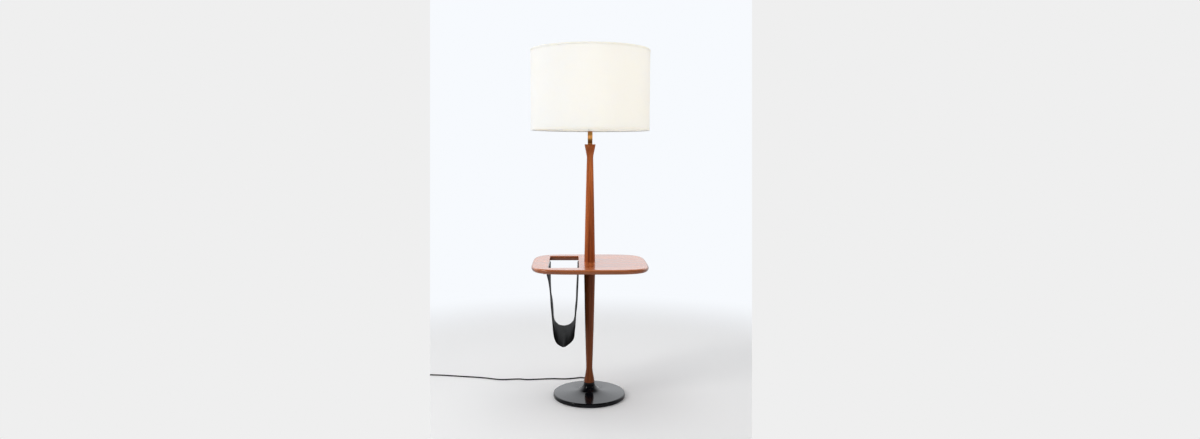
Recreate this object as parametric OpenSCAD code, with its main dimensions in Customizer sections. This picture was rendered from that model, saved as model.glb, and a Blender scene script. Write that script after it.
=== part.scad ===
// Floor lamp with a table. Turned columns stand on a trumpet-shaped base and carry a table with a
// magazine slot, a leather sling under the slot, and a drum shade on a harp.
// Millimetres, +Z up. The origin is on the lamp's axis, on the floor. +Y is the back, where the cord leaves.

/* [Base] */
// Diameter of the base
base_d = 318; // [280:1:360]
// Height of the base's neck, where the lower column starts
base_h = 65; // [60:1:70]
// Diameter of the base's neck
neck_d = 47; // [46:0.5:52]
// Radius of the concave sweep from the neck into the dish
sweep_r = 37; // [34:1:39]
// Fall of the dish from the sweep to the rim, in degrees
dish_slope = 6; // [5:0.1:6.5]
// Radius of the rim's upper edge
rim_round = 6; // [4:0.5:7]
// Wall of the spun base shell
shell_t = 3; // [2:0.5:4]

/* [Columns] */
// Diameter of both columns where they meet the table
column_d = 47; // [40:0.5:52]
// Diameter of the waist at the foot of the lower column
lower_waist_d = 27.6; // [25:0.1:30]
// Height of the waist of the lower column above the floor
lower_waist_z = 135; // [125:1:150]
// Diameter of the waist at the top of the upper column
upper_waist_d = 27.5; // [25:0.5:30]
// Distance of the upper waist below the top of the wood
upper_waist_drop = 57; // [40:1:80]
// Diameter of the flared top of the upper column
crown_d = 47; // [44:0.5:48]
// Height of the top of the upper column above the floor
wood_top_z = 1113; // [1000:1:1200]
// Belly of the lower column over a straight taper, on the radius
belly = 1.6; // [0:0.1:3]
// Spread of the lower column just under the table, on the radius
lower_spread = 2; // [0:0.1:3]
// Belly of the upper column over a straight taper, on the radius
upper_belly = 0.6; // [0:0.1:2]

/* [Table] */
// Width of the table, left to right
table_w = 500; // [460:1:500]
// Depth of the table, front to back
table_l = 450; // [420:1:480]
// Thickness of the table
table_t = 20; // [16:1:26]
// Height of the table's surface above the floor
table_z = 603; // [560:1:640]
// How square the outline is: 2 is an ellipse, and more is squarer
table_power = 4.4; // [3:0.1:6]
// Width of the magazine slot
slot_w = 129; // [110:1:130]
// Length of the magazine slot, front to back
slot_l = 330; // [300:1:340]
// Distance of the slot's right edge from the lamp's axis
slot_x = 48; // [48:1:56]

/* [Magazine sling] */
// Thickness of the leather
leather_t = 2.4; // [1.6:0.1:3]
// Length of the sling, front to back
sling_l = 310; // [280:1:316]
// Height of the lowest point of the sling above the floor
sling_z = 271; // [250:1:320]
// How much the back of the sling hangs higher than its front
sling_lift = 10; // [0:1:14]
// Sideways sway of the leather between its two ends
sling_sway = 3; // [0:0.5:5]

/* [Shade] */
// Diameter of the drum shade
shade_d = 508; // [502:1:520]
// Height of the drum shade
shade_h = 337; // [300:1:340]
// Height of the shade's lower edge above the floor
shade_z = 1172; // [1171:1:1180]
// Thickness of the lined shade fabric
shade_t = 1.6; // [1:0.1:2.5]
// Drop of the spider's hub below the shade's upper edge
hub_drop = 25; // [20:1:30]

/* [Cord] */
// Diameter of the cord
cord_d = 6; // [5:0.5:6]
// Turns of the stored coil, in two layers
coil_turns = 6; // [4:2:6]
// Mean radius of the coil's turns
coil_r = 36; // [33:1:36]

/* [Hidden] */
$fn = 72;
tiny = 0.01;              // how far a cutting shape runs past the face that it cuts

// Colours
walnut = [0.42, 0.19, 0.09];
enamel = [0.05, 0.05, 0.055];
brass_tone = [0.72, 0.52, 0.24];
steel_tone = [0.62, 0.63, 0.65];
linen = [0.95, 0.94, 0.90];
glaze = [0.94, 0.93, 0.90];

// Base: felt, plate and weight stacked from the floor
felt_t = 2;
plate_t = 1.5;
plate_r = base_d / 2 - 4.5;
shell_foot = 1.5;         // the shell's rim stays this far off the floor
weight_z = felt_t + plate_t;
weight_r = base_d / 2 - 13;
weight_mid_r = 58;        // the weight is flat inside this radius and falls with the dish outside it
weight_gap = 0.8;         // gap between the weight's edge and the shell
boss_r = 18.5;
foot_round = 2.5;         // radius of the rim's lower edge
cord_z = 9.6;             // height of the cord where it leaves the base
cord_r = cord_d / 2;
channel_w = 10;           // wire channel under the weight
channel_h = 10;
wire_bend = 12;           // radius of the wire's turn under the rod
neck_r = neck_d / 2;

// Threaded rod through the whole lamp, with its nut in a pocket under the weight
rod_r = 5;
rod_bore = 3.6;
rod_gap = 0.4;
rod_z = cord_z + wire_bend + 1;
nut_t = 6;
nut_af = 14;
washer_t = 1.5;
washer_r = 12;
nut_z = rod_z + 1;
washer_z = nut_z + nut_t;
pocket_top = washer_z + washer_t;
pocket_r = 14;

// Strain relief at the back of the base
bush_r = 4.8;
bush_flange_r = 6.6;
bush_lip_r = 5.6;
bush_flange_t = 2;
bush_l = 28;
bush_tip_r = 4;
bush_in = weight_r + 4;
bush_out = base_d / 2;

// Neck, saddle and socket above the wood
neck_tube_r = 9.9;
neck_sleeve_r = 10.3;
neck_sleeve_z = wood_top_z + 19;
neck_groove_z = wood_top_z + 44;
collar_z = wood_top_z + 51;
collar_t = 5;
collar_r = 11.2;
riser_z = collar_z + collar_t;
riser_r = 8;
riser_h = 16;
saddle_z = riser_z + riser_h;
saddle_t = 1.5;
saddle_x = 27;            // half the distance between the harp's legs
socket_z = saddle_z + saddle_t;
cap_h = 16;
cap_wall = 0.8;
shell_r = 16.6;
shell_h = 46;
shell_z = socket_z + cap_h - 2;
rod_top = socket_z + 8;
body_z = socket_z + cap_h;
body_h = 16;
body_r = 14.2;
key_z = body_z + 10;
key_r = 2;
run_gap = 0.05;           // running clearance, on the radius
key_start = 6.5;          // where the key's shaft starts, inside the moulded body
key_out = 26;             // where the knob starts, in front of the lamp holder
knob_l = 12;
thread_r = 13.3;          // inside of the lamp holder's thread
thread_z = body_z + body_h;
contact_h = 2;
bulb_z = thread_z + contact_h + 0.4;
glass_z = bulb_z + 25;
glass_t = 1;
neck_glass_r = 12.5;
bulb_r = 34;
ball_z = glass_z + 72;    // centre of the bulb's round top

// Harp
harp_wire_r = 2.25;
ferrule_r = 3.4;
ferrule_l = 20;
harp_foot_z = socket_z + 8;
shade_top = shade_z + shade_h;
hub_z = shade_top - hub_drop;
harp_half_w = 60;
harp_widest_z = 1300;
stud_r = 3.1;
stud_l = 20;
seat_r = 8;
seat_t = 2;
harp_top_z = hub_z - seat_t - harp_wire_r;

// Shade frame
ring_r = 1.6;
ring_mid_r = shade_d / 2 - shade_t - ring_r;
trim_t = 0.8;
trim_h = 8;
hub_r = 11;
hub_t = 2.5;
arm_r = 1.6;
arm_flat = 205;           // where each arm turns up to the ring
arm_count = 3;
finial_h = 29;

// Sling, hung from the table's underside beside the slot
under_z = table_z - table_t;
bend_r = 4;
flange_w = 13;
batten_t = 6;
slot_left = -slot_x - slot_w;
hang_left = slot_left - 2;
hang_right = -slot_x - 1;
shoulder_left = [-160, 335];
shoulder_right = [-62.5, 330];
belly_x = (shoulder_left[0] + shoulder_right[0]) / 2;
pouch_left = [[-158, 308], [-128, sling_z]];     // handles of the pouch's left curve
pouch_right = [[-96, sling_z], [-64, 305]];      // handles of its right curve
sling_stations = 11;
screw_r = 1.6;
screw_head_r = 3.5;
screw_head_h = 2.2;
screw_grip = 12;
screw_ys = [-120, -40, 40, 120];

// Cord on the floor, from the strain relief to the coil
tie_t = 1;
tie_w = 10;
coil_pitch = cord_d + 0.6;
coil_centre = [-830, 255];
coil_outer = coil_r + coil_pitch * coil_turns / 4;
coil_z = cord_r + tie_t;
rings_per_turn = 24;
lead_out = 15;            // how far the end swings out past the coil
plug_w = 22;
plug_h = 15;
plug_l = 26;
plug_relief_l = 14;
plug_relief_r = 4.6;
blade_l = 16;
blade_w = 6.3;
blade_t = 1.5;
blade_gap = 12.7;
cord_route = [
    [0, 187, cord_z], [0, 200, 7.8], [0, 212, 4.6], [-4, 225, 3], [-15, 238, 3], [-38, 244, 3],
    [-72, 233, 3], [-112, 226, 3], [-170, 230, 3], [-252, 221, 3], [-291, 218, 3],
    [-331, 227, 3], [-414, 220, 3], [-489, 244, 3], [-550, 259, 3], [-620, 273, 3],
    [-690, 287, 3], [-762, 297, 3],
    [coil_centre[0] + 4 * cord_d, coil_centre[1] + coil_outer, coil_z],
    [coil_centre[0] + cord_d, coil_centre[1] + coil_outer, coil_z]
];
ring_step = 15;           // spacing of the rings along the cord

// ---- Curves and lofts ----

function unit(v) = v / norm(v);

function bezier(p, n) = [
    for (i = [0:n]) let (t = i / n, s = 1 - t)
        s^3 * p[0] + 3 * s^2 * t * p[1] + 3 * s * t^2 * p[2] + t^3 * p[3]
];

function arc(centre, r, from, to, n) = [
    for (i = [0:n]) let (a = from + (to - from) * i / n) centre + r * [cos(a), sin(a)]
];

function reversed(list) = [for (i = [len(list) - 1:-1:0]) list[i]];

function smoothstep(t) = t * t * (3 - 2 * t);

// Direction of a path at its point i
function heading(path, i) =
    unit(path[min(i + 1, len(path) - 1)] - path[max(i - 1, 0)]);

// A smooth curve through the points, with a point about every `step`
function through(p, step) = concat(
    [p[0]],
    [
        for (i = [0:len(p) - 2])
            let (l = norm(p[i + 1] - p[i]), n = max(1, ceil(l / step)),
                 m0 = l * heading(p, i), m1 = l * heading(p, i + 1))
            for (k = [1:n]) let (t = k / n)
                (1 + 2 * t) * (1 - t)^2 * p[i] + t * (1 - t)^2 * m0
                + t^2 * (3 - 2 * t) * p[i + 1] - t^2 * (1 - t) * m1
    ]
);

function path_length(p) = [for (i = [1:len(p) - 1]) norm(p[i] - p[i - 1])] * [for (i = [1:len(p) - 1]) 1];

// Rings of a round tube along a path that never runs along `up`
function tube_rings(path, r, sides, up) = [
    for (i = [0:len(path) - 1])
        let (t = heading(path, i), s = unit(cross(t, up)), u = cross(s, t))
        [for (k = [0:sides - 1]) let (a = 360 * (k + 0.5) / sides) path[i] + r * (cos(a) * s + sin(a) * u)]
];

// Triangles that close a ring: a fan for a convex ring, a ladder for a bent strip
function fan(first, n) = [for (k = [1:n - 2]) [first, first + k, first + k + 1]];
function ladder(first, n) = [
    for (k = [0:n / 2 - 2]) each [
        [first + k, first + k + 1, first + n - 2 - k],
        [first + k, first + n - 2 - k, first + n - 1 - k]
    ]
];

// A solid through rings of equal count, clockwise as seen from its far end
module loft(rings, strip = false) {
    n = len(rings[0]);
    last = (len(rings) - 1) * n;
    sides = [
        for (i = [0:len(rings) - 2], k = [0:n - 1])
            let (a = i * n + k, b = i * n + (k + 1) % n) each [[a, b, b + n], [a, b + n, a + n]]
    ];
    near = strip ? ladder(0, n) : fan(0, n);
    far = strip ? ladder(last, n) : fan(last, n);
    polyhedron([for (ring = rings) each ring], concat(sides, [for (f = near) reversed(f)], far));
}

module tube(path, r, sides, up = [0, 0, 1]) loft(tube_rings(path, r, sides, up));

module ring(outer, inner, h) {
    difference() {
        cylinder(r = outer, h = h);
        translate([0, 0, -tiny]) cylinder(r = inner, h = h + 2 * tiny);
    }
}

module turned(profile) rotate_extrude() polygon(profile);

module rounded_slot(w, l, r) {
    square([w - 2 * r, l], center = true);
    square([w, l - 2 * r], center = true);
    for (x = [-1, 1], y = [-1, 1])
        translate([x * (w / 2 - r), y * (l / 2 - r)]) circle(r);
}

// ---- Base ----

// The trumpet's upper outline, from the neck to the rim, for a shell pared down by `t`
function trumpet(t) =
    let (c = [neck_r + sweep_r, base_h], r = sweep_r + t,
         foot = c + r * [-sin(dish_slope), -cos(dish_slope)],
         rim_r = base_d / 2 - t, round = max(rim_round - t, 0.5),
         rim_z = foot[1] - tan(dish_slope) * (rim_r - round - foot[0]) - round)
    concat(
        arc(c, r, 180 + asin(t / r), 270 - dish_slope, 14),
        arc([rim_r - round, rim_z], round, 90 - dish_slope, 0, 4)
    );

module felt_pad() color("dimgray") cylinder(r = plate_r - 3, h = felt_t);

module bottom_plate() color(steel_tone) translate([0, 0, felt_t]) cylinder(r = plate_r, h = plate_t);

// Height of the dish at radius r, for a shell pared down by `t`
function dish_z(r, t) =
    base_h - (sweep_r + t) * cos(dish_slope)
    - tan(dish_slope) * (r - neck_r - sweep_r + (sweep_r + t) * sin(dish_slope));

module base_weight() {
    edge_z = dish_z(weight_r, shell_t) - weight_gap;
    middle_z = dish_z(weight_mid_r, shell_t) - 2 * weight_gap;
    color([0.25, 0.25, 0.26]) difference() {
        turned([
            [0, weight_z], [weight_r, weight_z], [weight_r, edge_z], [weight_mid_r, middle_z],
            [boss_r, middle_z], [boss_r, base_h - shell_t], [0, base_h - shell_t]
        ]);
        translate([0, 0, -tiny]) cylinder(r = rod_r + rod_gap, h = base_h);
        translate([0, 0, -tiny]) cylinder(r = pocket_r, h = pocket_top + tiny);
        translate([-channel_w / 2, 0, weight_z - tiny]) cube([channel_w, base_d / 2, channel_h]);
    }
}

module base_shell() {
    inside = trumpet(shell_t);
    color(enamel) difference() {
        turned(concat(
            [[rod_r + rod_gap, base_h - shell_t], [rod_r + rod_gap, base_h]],
            trumpet(0),
            arc([base_d / 2 - foot_round, shell_foot + foot_round], foot_round, 0, -90, 4),
            [[base_d / 2 - shell_t, shell_foot]],
            reversed(inside),
            [[inside[0][0], base_h - shell_t]]
        ));
        translate([0, 0, cord_z]) rotate([-90, 0, 0]) cylinder(r = bush_r, h = base_d);
    }
}

module base_washer() {
    color(steel_tone) translate([0, 0, washer_z]) ring(washer_r, rod_r, washer_t);
}

module base_nut() {
    color(steel_tone) translate([0, 0, nut_z]) difference() {
        cylinder(d = nut_af / cos(30), h = nut_t, $fn = 6);
        translate([0, 0, -tiny]) cylinder(r = rod_r, h = nut_t + 2 * tiny);
    }
}

module centre_rod() {
    color(steel_tone) translate([0, 0, rod_z]) ring(rod_r, rod_bore, rod_top - rod_z);
}

// The cord's own run inside the lamp: back from the strain relief, up through the rod to the switch
module inner_wire() {
    color("black") {
        translate([0, 0, cord_z + wire_bend]) cylinder(r = cord_r, h = body_z - cord_z - wire_bend);
        translate([0, wire_bend, cord_z + wire_bend]) rotate([90, 0, 90])
            rotate_extrude(angle = 90, start = 180) translate([wire_bend, 0]) circle(cord_r, $fn = 24);
        translate([0, wire_bend, cord_z]) rotate([-90, 0, 0])
            cylinder(r = cord_r, h = bush_out + bush_l - wire_bend);
    }
}

module cord_bushing() {
    color("black") translate([0, 0, cord_z]) rotate([-90, 0, 0]) turned([
        [cord_r, bush_in - bush_flange_t], [cord_r, bush_out + bush_l],
        [bush_tip_r, bush_out + bush_l], [bush_r + 0.4, bush_out + bush_flange_t],
        [bush_flange_r, bush_out + bush_flange_t], [bush_flange_r, bush_out],
        [bush_r, bush_out], [bush_r, bush_in],
        [bush_lip_r, bush_in], [bush_lip_r, bush_in - bush_flange_t]
    ]);
}

// ---- Columns ----

// A column's taper from one end to the other, with a belly and a spread at its far end
function taper(from, to, swell, spread, n) = [
    for (i = [0:n]) let (f = i / n)
        from + f * (to - from) + [swell * sin(180 * f) + spread * f^7, 0]
];

module lower_column() {
    waist = [lower_waist_d / 2, lower_waist_z];
    foot_h = lower_waist_z - base_h;
    foot = bezier([
        [neck_r - 0.5, base_h], [neck_r - 1, base_h + foot_h * 0.21], waist - [0, foot_h * 0.39], waist
    ], 12);
    upper = taper(waist, [column_d / 2, under_z], belly, lower_spread, 16);
    color(walnut) turned(concat(
        [[rod_r + rod_gap, base_h]], foot, [for (i = [1:16]) upper[i]], [[rod_r + rod_gap, under_z]]
    ));
}

module upper_column() {
    crown = crown_d / 2;
    arris = 0.8;
    waist = [upper_waist_d / 2, wood_top_z - upper_waist_drop];
    lower = taper([column_d / 2, table_z], waist, upper_belly, 0, 12);
    flare = bezier([
        waist, waist + [0.2, upper_waist_drop * 0.18],
        [crown - 1.7, wood_top_z - upper_waist_drop * 0.28], [crown, wood_top_z - arris * 2]
    ], 12);
    edge = arc([crown - arris, wood_top_z - arris], arris, 0, 90, 4);
    color(walnut) turned(concat(
        [[rod_r + rod_gap, table_z]], lower, [for (i = [1:12]) flare[i]], edge,
        [[rod_r + rod_gap, wood_top_z]]
    ));
}

// ---- Table ----

// Outline of the table, drawn in by `inset` square to its edge, clockwise from above
function table_ring(inset, z) = [
    for (i = [0:95])
        let (a = -360 * i / 96, c = cos(a), s = sin(a), e = 2 / table_power, f = 2 - e,
             out = unit([sign(c) * abs(c)^f / table_w, sign(s) * abs(s)^f / table_l]))
        [
            sign(c) * abs(c)^e * table_w / 2 - inset * out[0],
            sign(s) * abs(s)^e * table_l / 2 - inset * out[1],
            z
        ]
];

module table_top() {
    half = table_t / 2;
    color(walnut) difference() {
        loft([for (a = [-90:22.5:90]) table_ring(half * (1 - cos(a)), under_z + half + half * sin(a))]);
        translate([0, 0, under_z - tiny]) cylinder(r = rod_r + rod_gap, h = table_t + 2 * tiny);
        translate([(slot_left - slot_x) / 2, 0, under_z - tiny])
            linear_extrude(table_t + 2 * tiny) rounded_slot(slot_w, slot_l, 4);
        screw_places() translate([0, 0, -tiny]) cylinder(r = screw_r, h = screw_grip + tiny, $fn = 24);
    }
}

// ---- Sling ----

// The middle of the leather across the lamp, from the end of the left flange to the end of the right
function sling_line() =
    let (z = under_z - leather_t / 2, low = z - bend_r)
    concat(
        [[hang_left - bend_r - flange_w, z]],
        arc([hang_left - bend_r, low], bend_r, 90, 0, 4),
        [for (i = [1:6]) [hang_left, low] + (shoulder_left - [hang_left, low]) * i / 6],
        bezier([shoulder_left, pouch_left[0], pouch_left[1], [belly_x, sling_z]], 8)
    );

function sling_line_right() =
    let (z = under_z - leather_t / 2, low = z - bend_r)
    concat(
        bezier([[belly_x, sling_z], pouch_right[0], pouch_right[1], shoulder_right], 8),
        [for (i = [1:6]) shoulder_right + ([hang_right, low] - shoulder_right) * i / 6],
        arc([hang_right + bend_r, low], bend_r, 180, 90, 4),
        [[hang_right + bend_r + flange_w, z]]
    );

// The line at a station from -1 at the front to 1 at the back, where the leather lifts and sways
function sling_at(v) = [
    for (p = concat(
        [for (q = sling_line()) q],
        [for (i = [1:len(sling_line_right()) - 1]) sling_line_right()[i]]
    ))
        let (f = min(1, max(0, (under_z - leather_t - bend_r - p[1]) / (under_z - sling_z))))
        p + [-sling_sway * v * sin(180 * f), sling_lift / 2 * v * smoothstep(f)]
];

function sling_ring(v) =
    let (line = sling_at(v), n = len(line), y = sling_l / 2 * v,
         side = [for (i = [0:n - 1]) let (t = heading(line, i)) leather_t / 2 * [-t[1], t[0]]])
    concat(
        [for (i = [0:n - 1]) let (p = line[i] - side[i]) [p[0], y, p[1]]],
        [for (i = [n - 1:-1:0]) let (p = line[i] + side[i]) [p[0], y, p[1]]]
    );

module leather_sling() {
    color([0.03, 0.03, 0.03]) difference() {
        loft([for (i = [0:sling_stations - 1]) sling_ring(2 * i / (sling_stations - 1) - 1)], strip = true);
        screw_places() translate([0, 0, -leather_t - 1])
            cylinder(r = screw_r, h = leather_t + 2, $fn = 24);
    }
}

// Each screw's place on the table's underside
module screw_places(xs = [hang_left - bend_r - flange_w / 2, hang_right + bend_r + flange_w / 2]) {
    for (x = xs, y = screw_ys) translate([x, y, under_z]) children();
}

module batten(x) {
    top = under_z - leather_t;
    color(walnut) difference() {
        translate([x, -sling_l / 2, top - batten_t]) cube([flange_w, sling_l, batten_t]);
        screw_places([x + flange_w / 2]) translate([0, 0, -leather_t - batten_t - tiny])
            cylinder(r = screw_r, h = batten_t + 2 * tiny, $fn = 24);
    }
}

module sling_batten_left() batten(hang_left - bend_r - flange_w);

module sling_batten_right() batten(hang_right + bend_r);

module sling_screws() {
    head_z = -leather_t - batten_t - screw_head_h;
    color(brass_tone) screw_places() {
        translate([0, 0, head_z])
            cylinder(r1 = screw_head_r - 1, r2 = screw_head_r, h = screw_head_h, $fn = 24);
        translate([0, 0, head_z]) cylinder(r = screw_r, h = screw_grip - head_z, $fn = 24);
    }
}

// ---- Neck and socket ----

module neck_tube() {
    groove = 0.8;
    color(brass_tone) turned([
        [rod_r, wood_top_z], [neck_tube_r, wood_top_z], [neck_tube_r, neck_sleeve_z - 0.5],
        [neck_sleeve_r, neck_sleeve_z], [neck_sleeve_r, neck_groove_z - groove],
        [neck_sleeve_r - groove, neck_groove_z], [neck_sleeve_r, neck_groove_z + groove],
        [neck_sleeve_r, collar_z], [rod_r, collar_z]
    ]);
}

module neck_collar() {
    round = collar_t / 2;
    color(brass_tone) turned(concat(
        [[rod_r, collar_z]],
        arc([collar_r - round, collar_z + round], round, -90, 90, 8),
        [[rod_r, riser_z]]
    ));
}

// Glazed tube that holds the harp's saddle above the collar
module riser_sleeve() color(glaze) translate([0, 0, riser_z]) ring(riser_r, rod_r, riser_h);

// A brass strip over the rod, with an upright post at each end for the harp
module harp_saddle() {
    strip_w = 12;
    color(brass_tone) difference() {
        union() {
            translate([0, 0, saddle_z]) linear_extrude(saddle_t) rounded_slot(2 * saddle_x + 10, strip_w, 3);
            for (x = [-1, 1]) translate([x * saddle_x, 0, saddle_z])
                cylinder(r = harp_wire_r, h = harp_foot_z - saddle_z);
        }
        translate([0, 0, saddle_z - tiny]) cylinder(r = rod_r, h = saddle_t + 2 * tiny);
    }
}

module harp_ferrules() {
    color(brass_tone) for (x = [-1, 1]) translate([x * saddle_x, 0, socket_z])
        ring(ferrule_r, harp_wire_r, ferrule_l);
}

module harp() {
    straight_z = socket_z + ferrule_l + 2;
    leg = bezier([
        [saddle_x, straight_z], [saddle_x, straight_z + 40],
        [harp_half_w, harp_widest_z - 55], [harp_half_w, harp_widest_z]
    ], 10);
    bow = bezier([
        [harp_half_w, harp_widest_z], [harp_half_w, harp_widest_z + 110],
        [45, harp_top_z], [0, harp_top_z]
    ], 14);
    half = concat([[saddle_x, harp_foot_z]], leg, [for (i = [1:len(bow) - 1]) bow[i]]);
    path = concat(
        [for (p = half) [-p[0], 0, p[1]]],
        [for (i = [len(half) - 2:-1:0]) [half[i][0], 0, half[i][1]]]
    );
    color(brass_tone) tube(path, harp_wire_r, 10, [0, 1, 0]);
}

// Seat and threaded post on a cradle that straddles the top of the harp
module harp_stud() {
    cradle_r = 5;
    cradle_z = harp_top_z - harp_wire_r - 1;
    groove_r = harp_wire_r + 0.02;
    color(brass_tone) {
        difference() {
            translate([0, 0, cradle_z]) cylinder(r = cradle_r, h = hub_z - cradle_z);
            translate([-2 * cradle_r, 0, harp_top_z]) rotate([0, 90, 0])
                cylinder(r = groove_r, h = 4 * cradle_r);
            translate([-2 * cradle_r, -groove_r, cradle_z - tiny])
                cube([4 * cradle_r, 2 * groove_r, harp_top_z - cradle_z + tiny]);
        }
        translate([0, 0, hub_z - seat_t]) ring(seat_r, cradle_r - tiny, seat_t);
        translate([0, 0, hub_z]) cylinder(r = stud_r, h = stud_l);
    }
}

module socket_cap() {
    hub_h = rod_top - socket_z;
    rim = shell_r + cap_wall;
    color(brass_tone) turned(concat(
        [[rod_r, socket_z]],
        bezier([[8, socket_z], [rim, socket_z + 1], [rim, socket_z + 6], [rim, socket_z + cap_h - 4]], 8),
        [
            [rim, socket_z + cap_h + 3], [shell_r, socket_z + cap_h + 3],
            [shell_r, socket_z + cap_h - 2], [shell_r - 1, socket_z + cap_h - 4],
            [10, socket_z + 3.5], [7, socket_z + 3], [7, socket_z + hub_h], [rod_r, socket_z + hub_h]
        ]
    ));
}

module socket_shell() {
    color(brass_tone) difference() {
        union() {
            translate([0, 0, shell_z]) ring(shell_r, shell_r - cap_wall, shell_h);
            translate([0, 0, shell_z + shell_h - 3]) ring(shell_r + 0.6, shell_r - cap_wall, 1.5);
        }
        to_front() cylinder(r = key_r + run_gap, h = 2 * shell_r);
    }
}

// The key's axis: from the middle of the lamp holder to the front
module to_front() translate([0, 0, key_z]) rotate([90, 0, 0]) children();

module socket_liner() {
    color([0.75, 0.68, 0.55]) difference() {
        translate([0, 0, body_z]) ring(shell_r - cap_wall, body_r + 0.2, shell_h - 4);
        to_front() cylinder(r = key_r + 0.4, h = 2 * shell_r);
    }
}

// Moulded body with the switch inside, and the centre contact on its top
module switch_body() {
    color([0.12, 0.1, 0.09]) difference() {
        union() {
            translate([0, 0, body_z]) cylinder(r = body_r, h = body_h);
            translate([0, 0, thread_z]) cylinder(r = 3, h = contact_h);
        }
        to_front() translate([0, 0, key_start - 0.5]) cylinder(r = key_r + run_gap, h = 2 * shell_r);
    }
}

module socket_screw_shell() {
    color(brass_tone) translate([0, 0, thread_z]) {
        ring(thread_r + 0.6, thread_r, shell_h - body_h - 5);
        ring(thread_r, 8, 0.6);
    }
}

// Turned shaft with a flat oval knob
module switch_key() {
    collar_h = 2.5;
    color("black") to_front() {
        translate([0, 0, key_start]) cylinder(r = key_r, h = key_out + 0.5 - key_start);
        translate([0, 0, key_out]) cylinder(r1 = 4.2, r2 = 3.2, h = collar_h);
        translate([0, 0, key_out + collar_h - 0.5]) linear_extrude(knob_l) rounded_slot(16, 4, 1.9);
    }
}

// ---- Bulb ----

module bulb_cap() {
    wide = thread_r - 2 * run_gap;
    wall = 0.6;
    color(steel_tone) turned([
        [0, bulb_z], [3, bulb_z], [4.5, bulb_z + 2], [8, bulb_z + 3], [wide, bulb_z + 6],
        [wide, glass_z], [wide - wall, glass_z], [wide - wall, bulb_z + 7], [0, bulb_z + 7]
    ]);
}

// A thin glass envelope, open where its neck sits in the cap
module bulb_glass() {
    outer = bulb_outline(0);
    inner = bulb_outline(glass_t);
    color([1, 1, 0.96]) turned(concat(outer, reversed(inner)));
}

// The envelope's outline, pared down by `t`
function bulb_outline(t) = concat(
    [[neck_glass_r - t, glass_z - 10]],
    bezier([
        [neck_glass_r - t, glass_z], [neck_glass_r + 1.5 - t, glass_z + 22],
        [bulb_r - t, glass_z + 36], [bulb_r - t, ball_z]
    ], 12),
    [for (i = [1:10]) let (a = 9 * i) [(bulb_r - t) * cos(a), ball_z + (bulb_r - t) * sin(a)]]
);

// ---- Shade ----

module shade_drum() {
    color(linen) translate([0, 0, shade_z]) ring(shade_d / 2, shade_d / 2 - shade_t, shade_h);
}

module trim(z) {
    color([0.9, 0.85, 0.72]) translate([0, 0, z]) ring(shade_d / 2 + trim_t, shade_d / 2, trim_h);
}

module shade_trim_top() trim(shade_top - trim_h);

module shade_trim_bottom() trim(shade_z);

module wire_hoop(z) translate([0, 0, z]) rotate_extrude() translate([ring_mid_r, 0]) circle(ring_r, $fn = 24);

module shade_top_ring() color(steel_tone) wire_hoop(shade_top - ring_r);

module shade_bottom_ring() color(steel_tone) wire_hoop(shade_z + ring_r);

// Hub and three arms that turn up to the hoop
module shade_spider() {
    mid = hub_z + hub_t / 2;
    rise = shade_top - ring_r - mid;
    run = ring_mid_r - arm_flat;
    color(steel_tone) difference() {
        union() {
            translate([0, 0, hub_z]) cylinder(r = hub_r, h = hub_t);
            for (i = [0:arm_count - 1]) rotate(90 + 360 * i / arm_count) translate([0, 0, mid]) {
                translate([hub_r - 1, 0, 0]) rotate([0, 90, 0]) cylinder(r = arm_r, h = arm_flat - hub_r + 1);
                translate([arm_flat, 0, 0]) sphere(arm_r + 0.2);
                translate([arm_flat, 0, 0]) rotate([0, atan2(run, rise), 0])
                    cylinder(r = arm_r, h = norm([run, rise]) - 0.4);
            }
        }
        translate([0, 0, hub_z - tiny]) cylinder(r = stud_r + run_gap, h = hub_t + 2 * tiny);
        wire_hoop(shade_top - ring_r);
    }
}

module finial() {
    z = hub_z + hub_t;
    bore = stud_r + run_gap;
    bore_top = z + 19;
    color(brass_tone) turned(concat(
        [[bore, z], [9, z], [9.5, z + 1], [9, z + 2.4], [5.5, z + 4], [5, z + 6.5]],
        bezier([[5, z + 7], [10, z + 9], [12, z + 18], [7.5, z + 24]], 8),
        bezier([[7.5, z + 24], [6, z + 26.5], [3.5, z + finial_h], [0, z + finial_h]], 5),
        [[0, bore_top], [bore, bore_top]]
    ));
}

// ---- Cord ----

// Height of the coil's middle line after `a` degrees: it climbs a layer in the half turn round the middle
function coil_height(a) =
    let (half = 180 * coil_turns)
    coil_z + coil_pitch * min(1, max(0, (a - half + 90) / 180));

function coil_radius(a) =
    let (half = 180 * coil_turns)
    coil_outer - coil_pitch * (half - abs(a - half)) / 360;

function coil_point(a, r, z) = [coil_centre[0] + r * cos(90 + a), coil_centre[1] + r * sin(90 + a), z];

// Straight in, round and round, then out beside the coil and straight into the plug
coil_end_r = coil_outer + lead_out;
plug_z = plug_h / 2;
turn_step = 360 / rings_per_turn;
coil_line = concat(
    [coil_point(0, coil_outer, coil_z) + [cord_d, 0, 0]],
    [for (a = [0:turn_step:360 * coil_turns]) coil_point(a, coil_radius(a), coil_height(a))],
    [
        for (a = [turn_step:turn_step:90])
            let (f = smoothstep(a / 90), top = coil_height(360 * coil_turns))
            coil_point(a, coil_outer + lead_out * f, top + (plug_z - top) * f)
    ],
    [[coil_centre[0] - coil_end_r, coil_centre[1] - cord_d, plug_z]]
);
run_line = through(cord_route, ring_step);

coil_gap = min([
    for (i = [0:len(coil_line) - 1], j = [i + rings_per_turn / 2:1:len(coil_line) - 1])
        norm(coil_line[i] - coil_line[j])
]) - cord_d;
echo(least_gap_in_coil = coil_gap, run = path_length(run_line), coil = path_length(coil_line));

module cord_run() color("black") tube(run_line, cord_r, 8);

module cord_coil() color("black") tube(coil_line, cord_r, 6);

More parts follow.
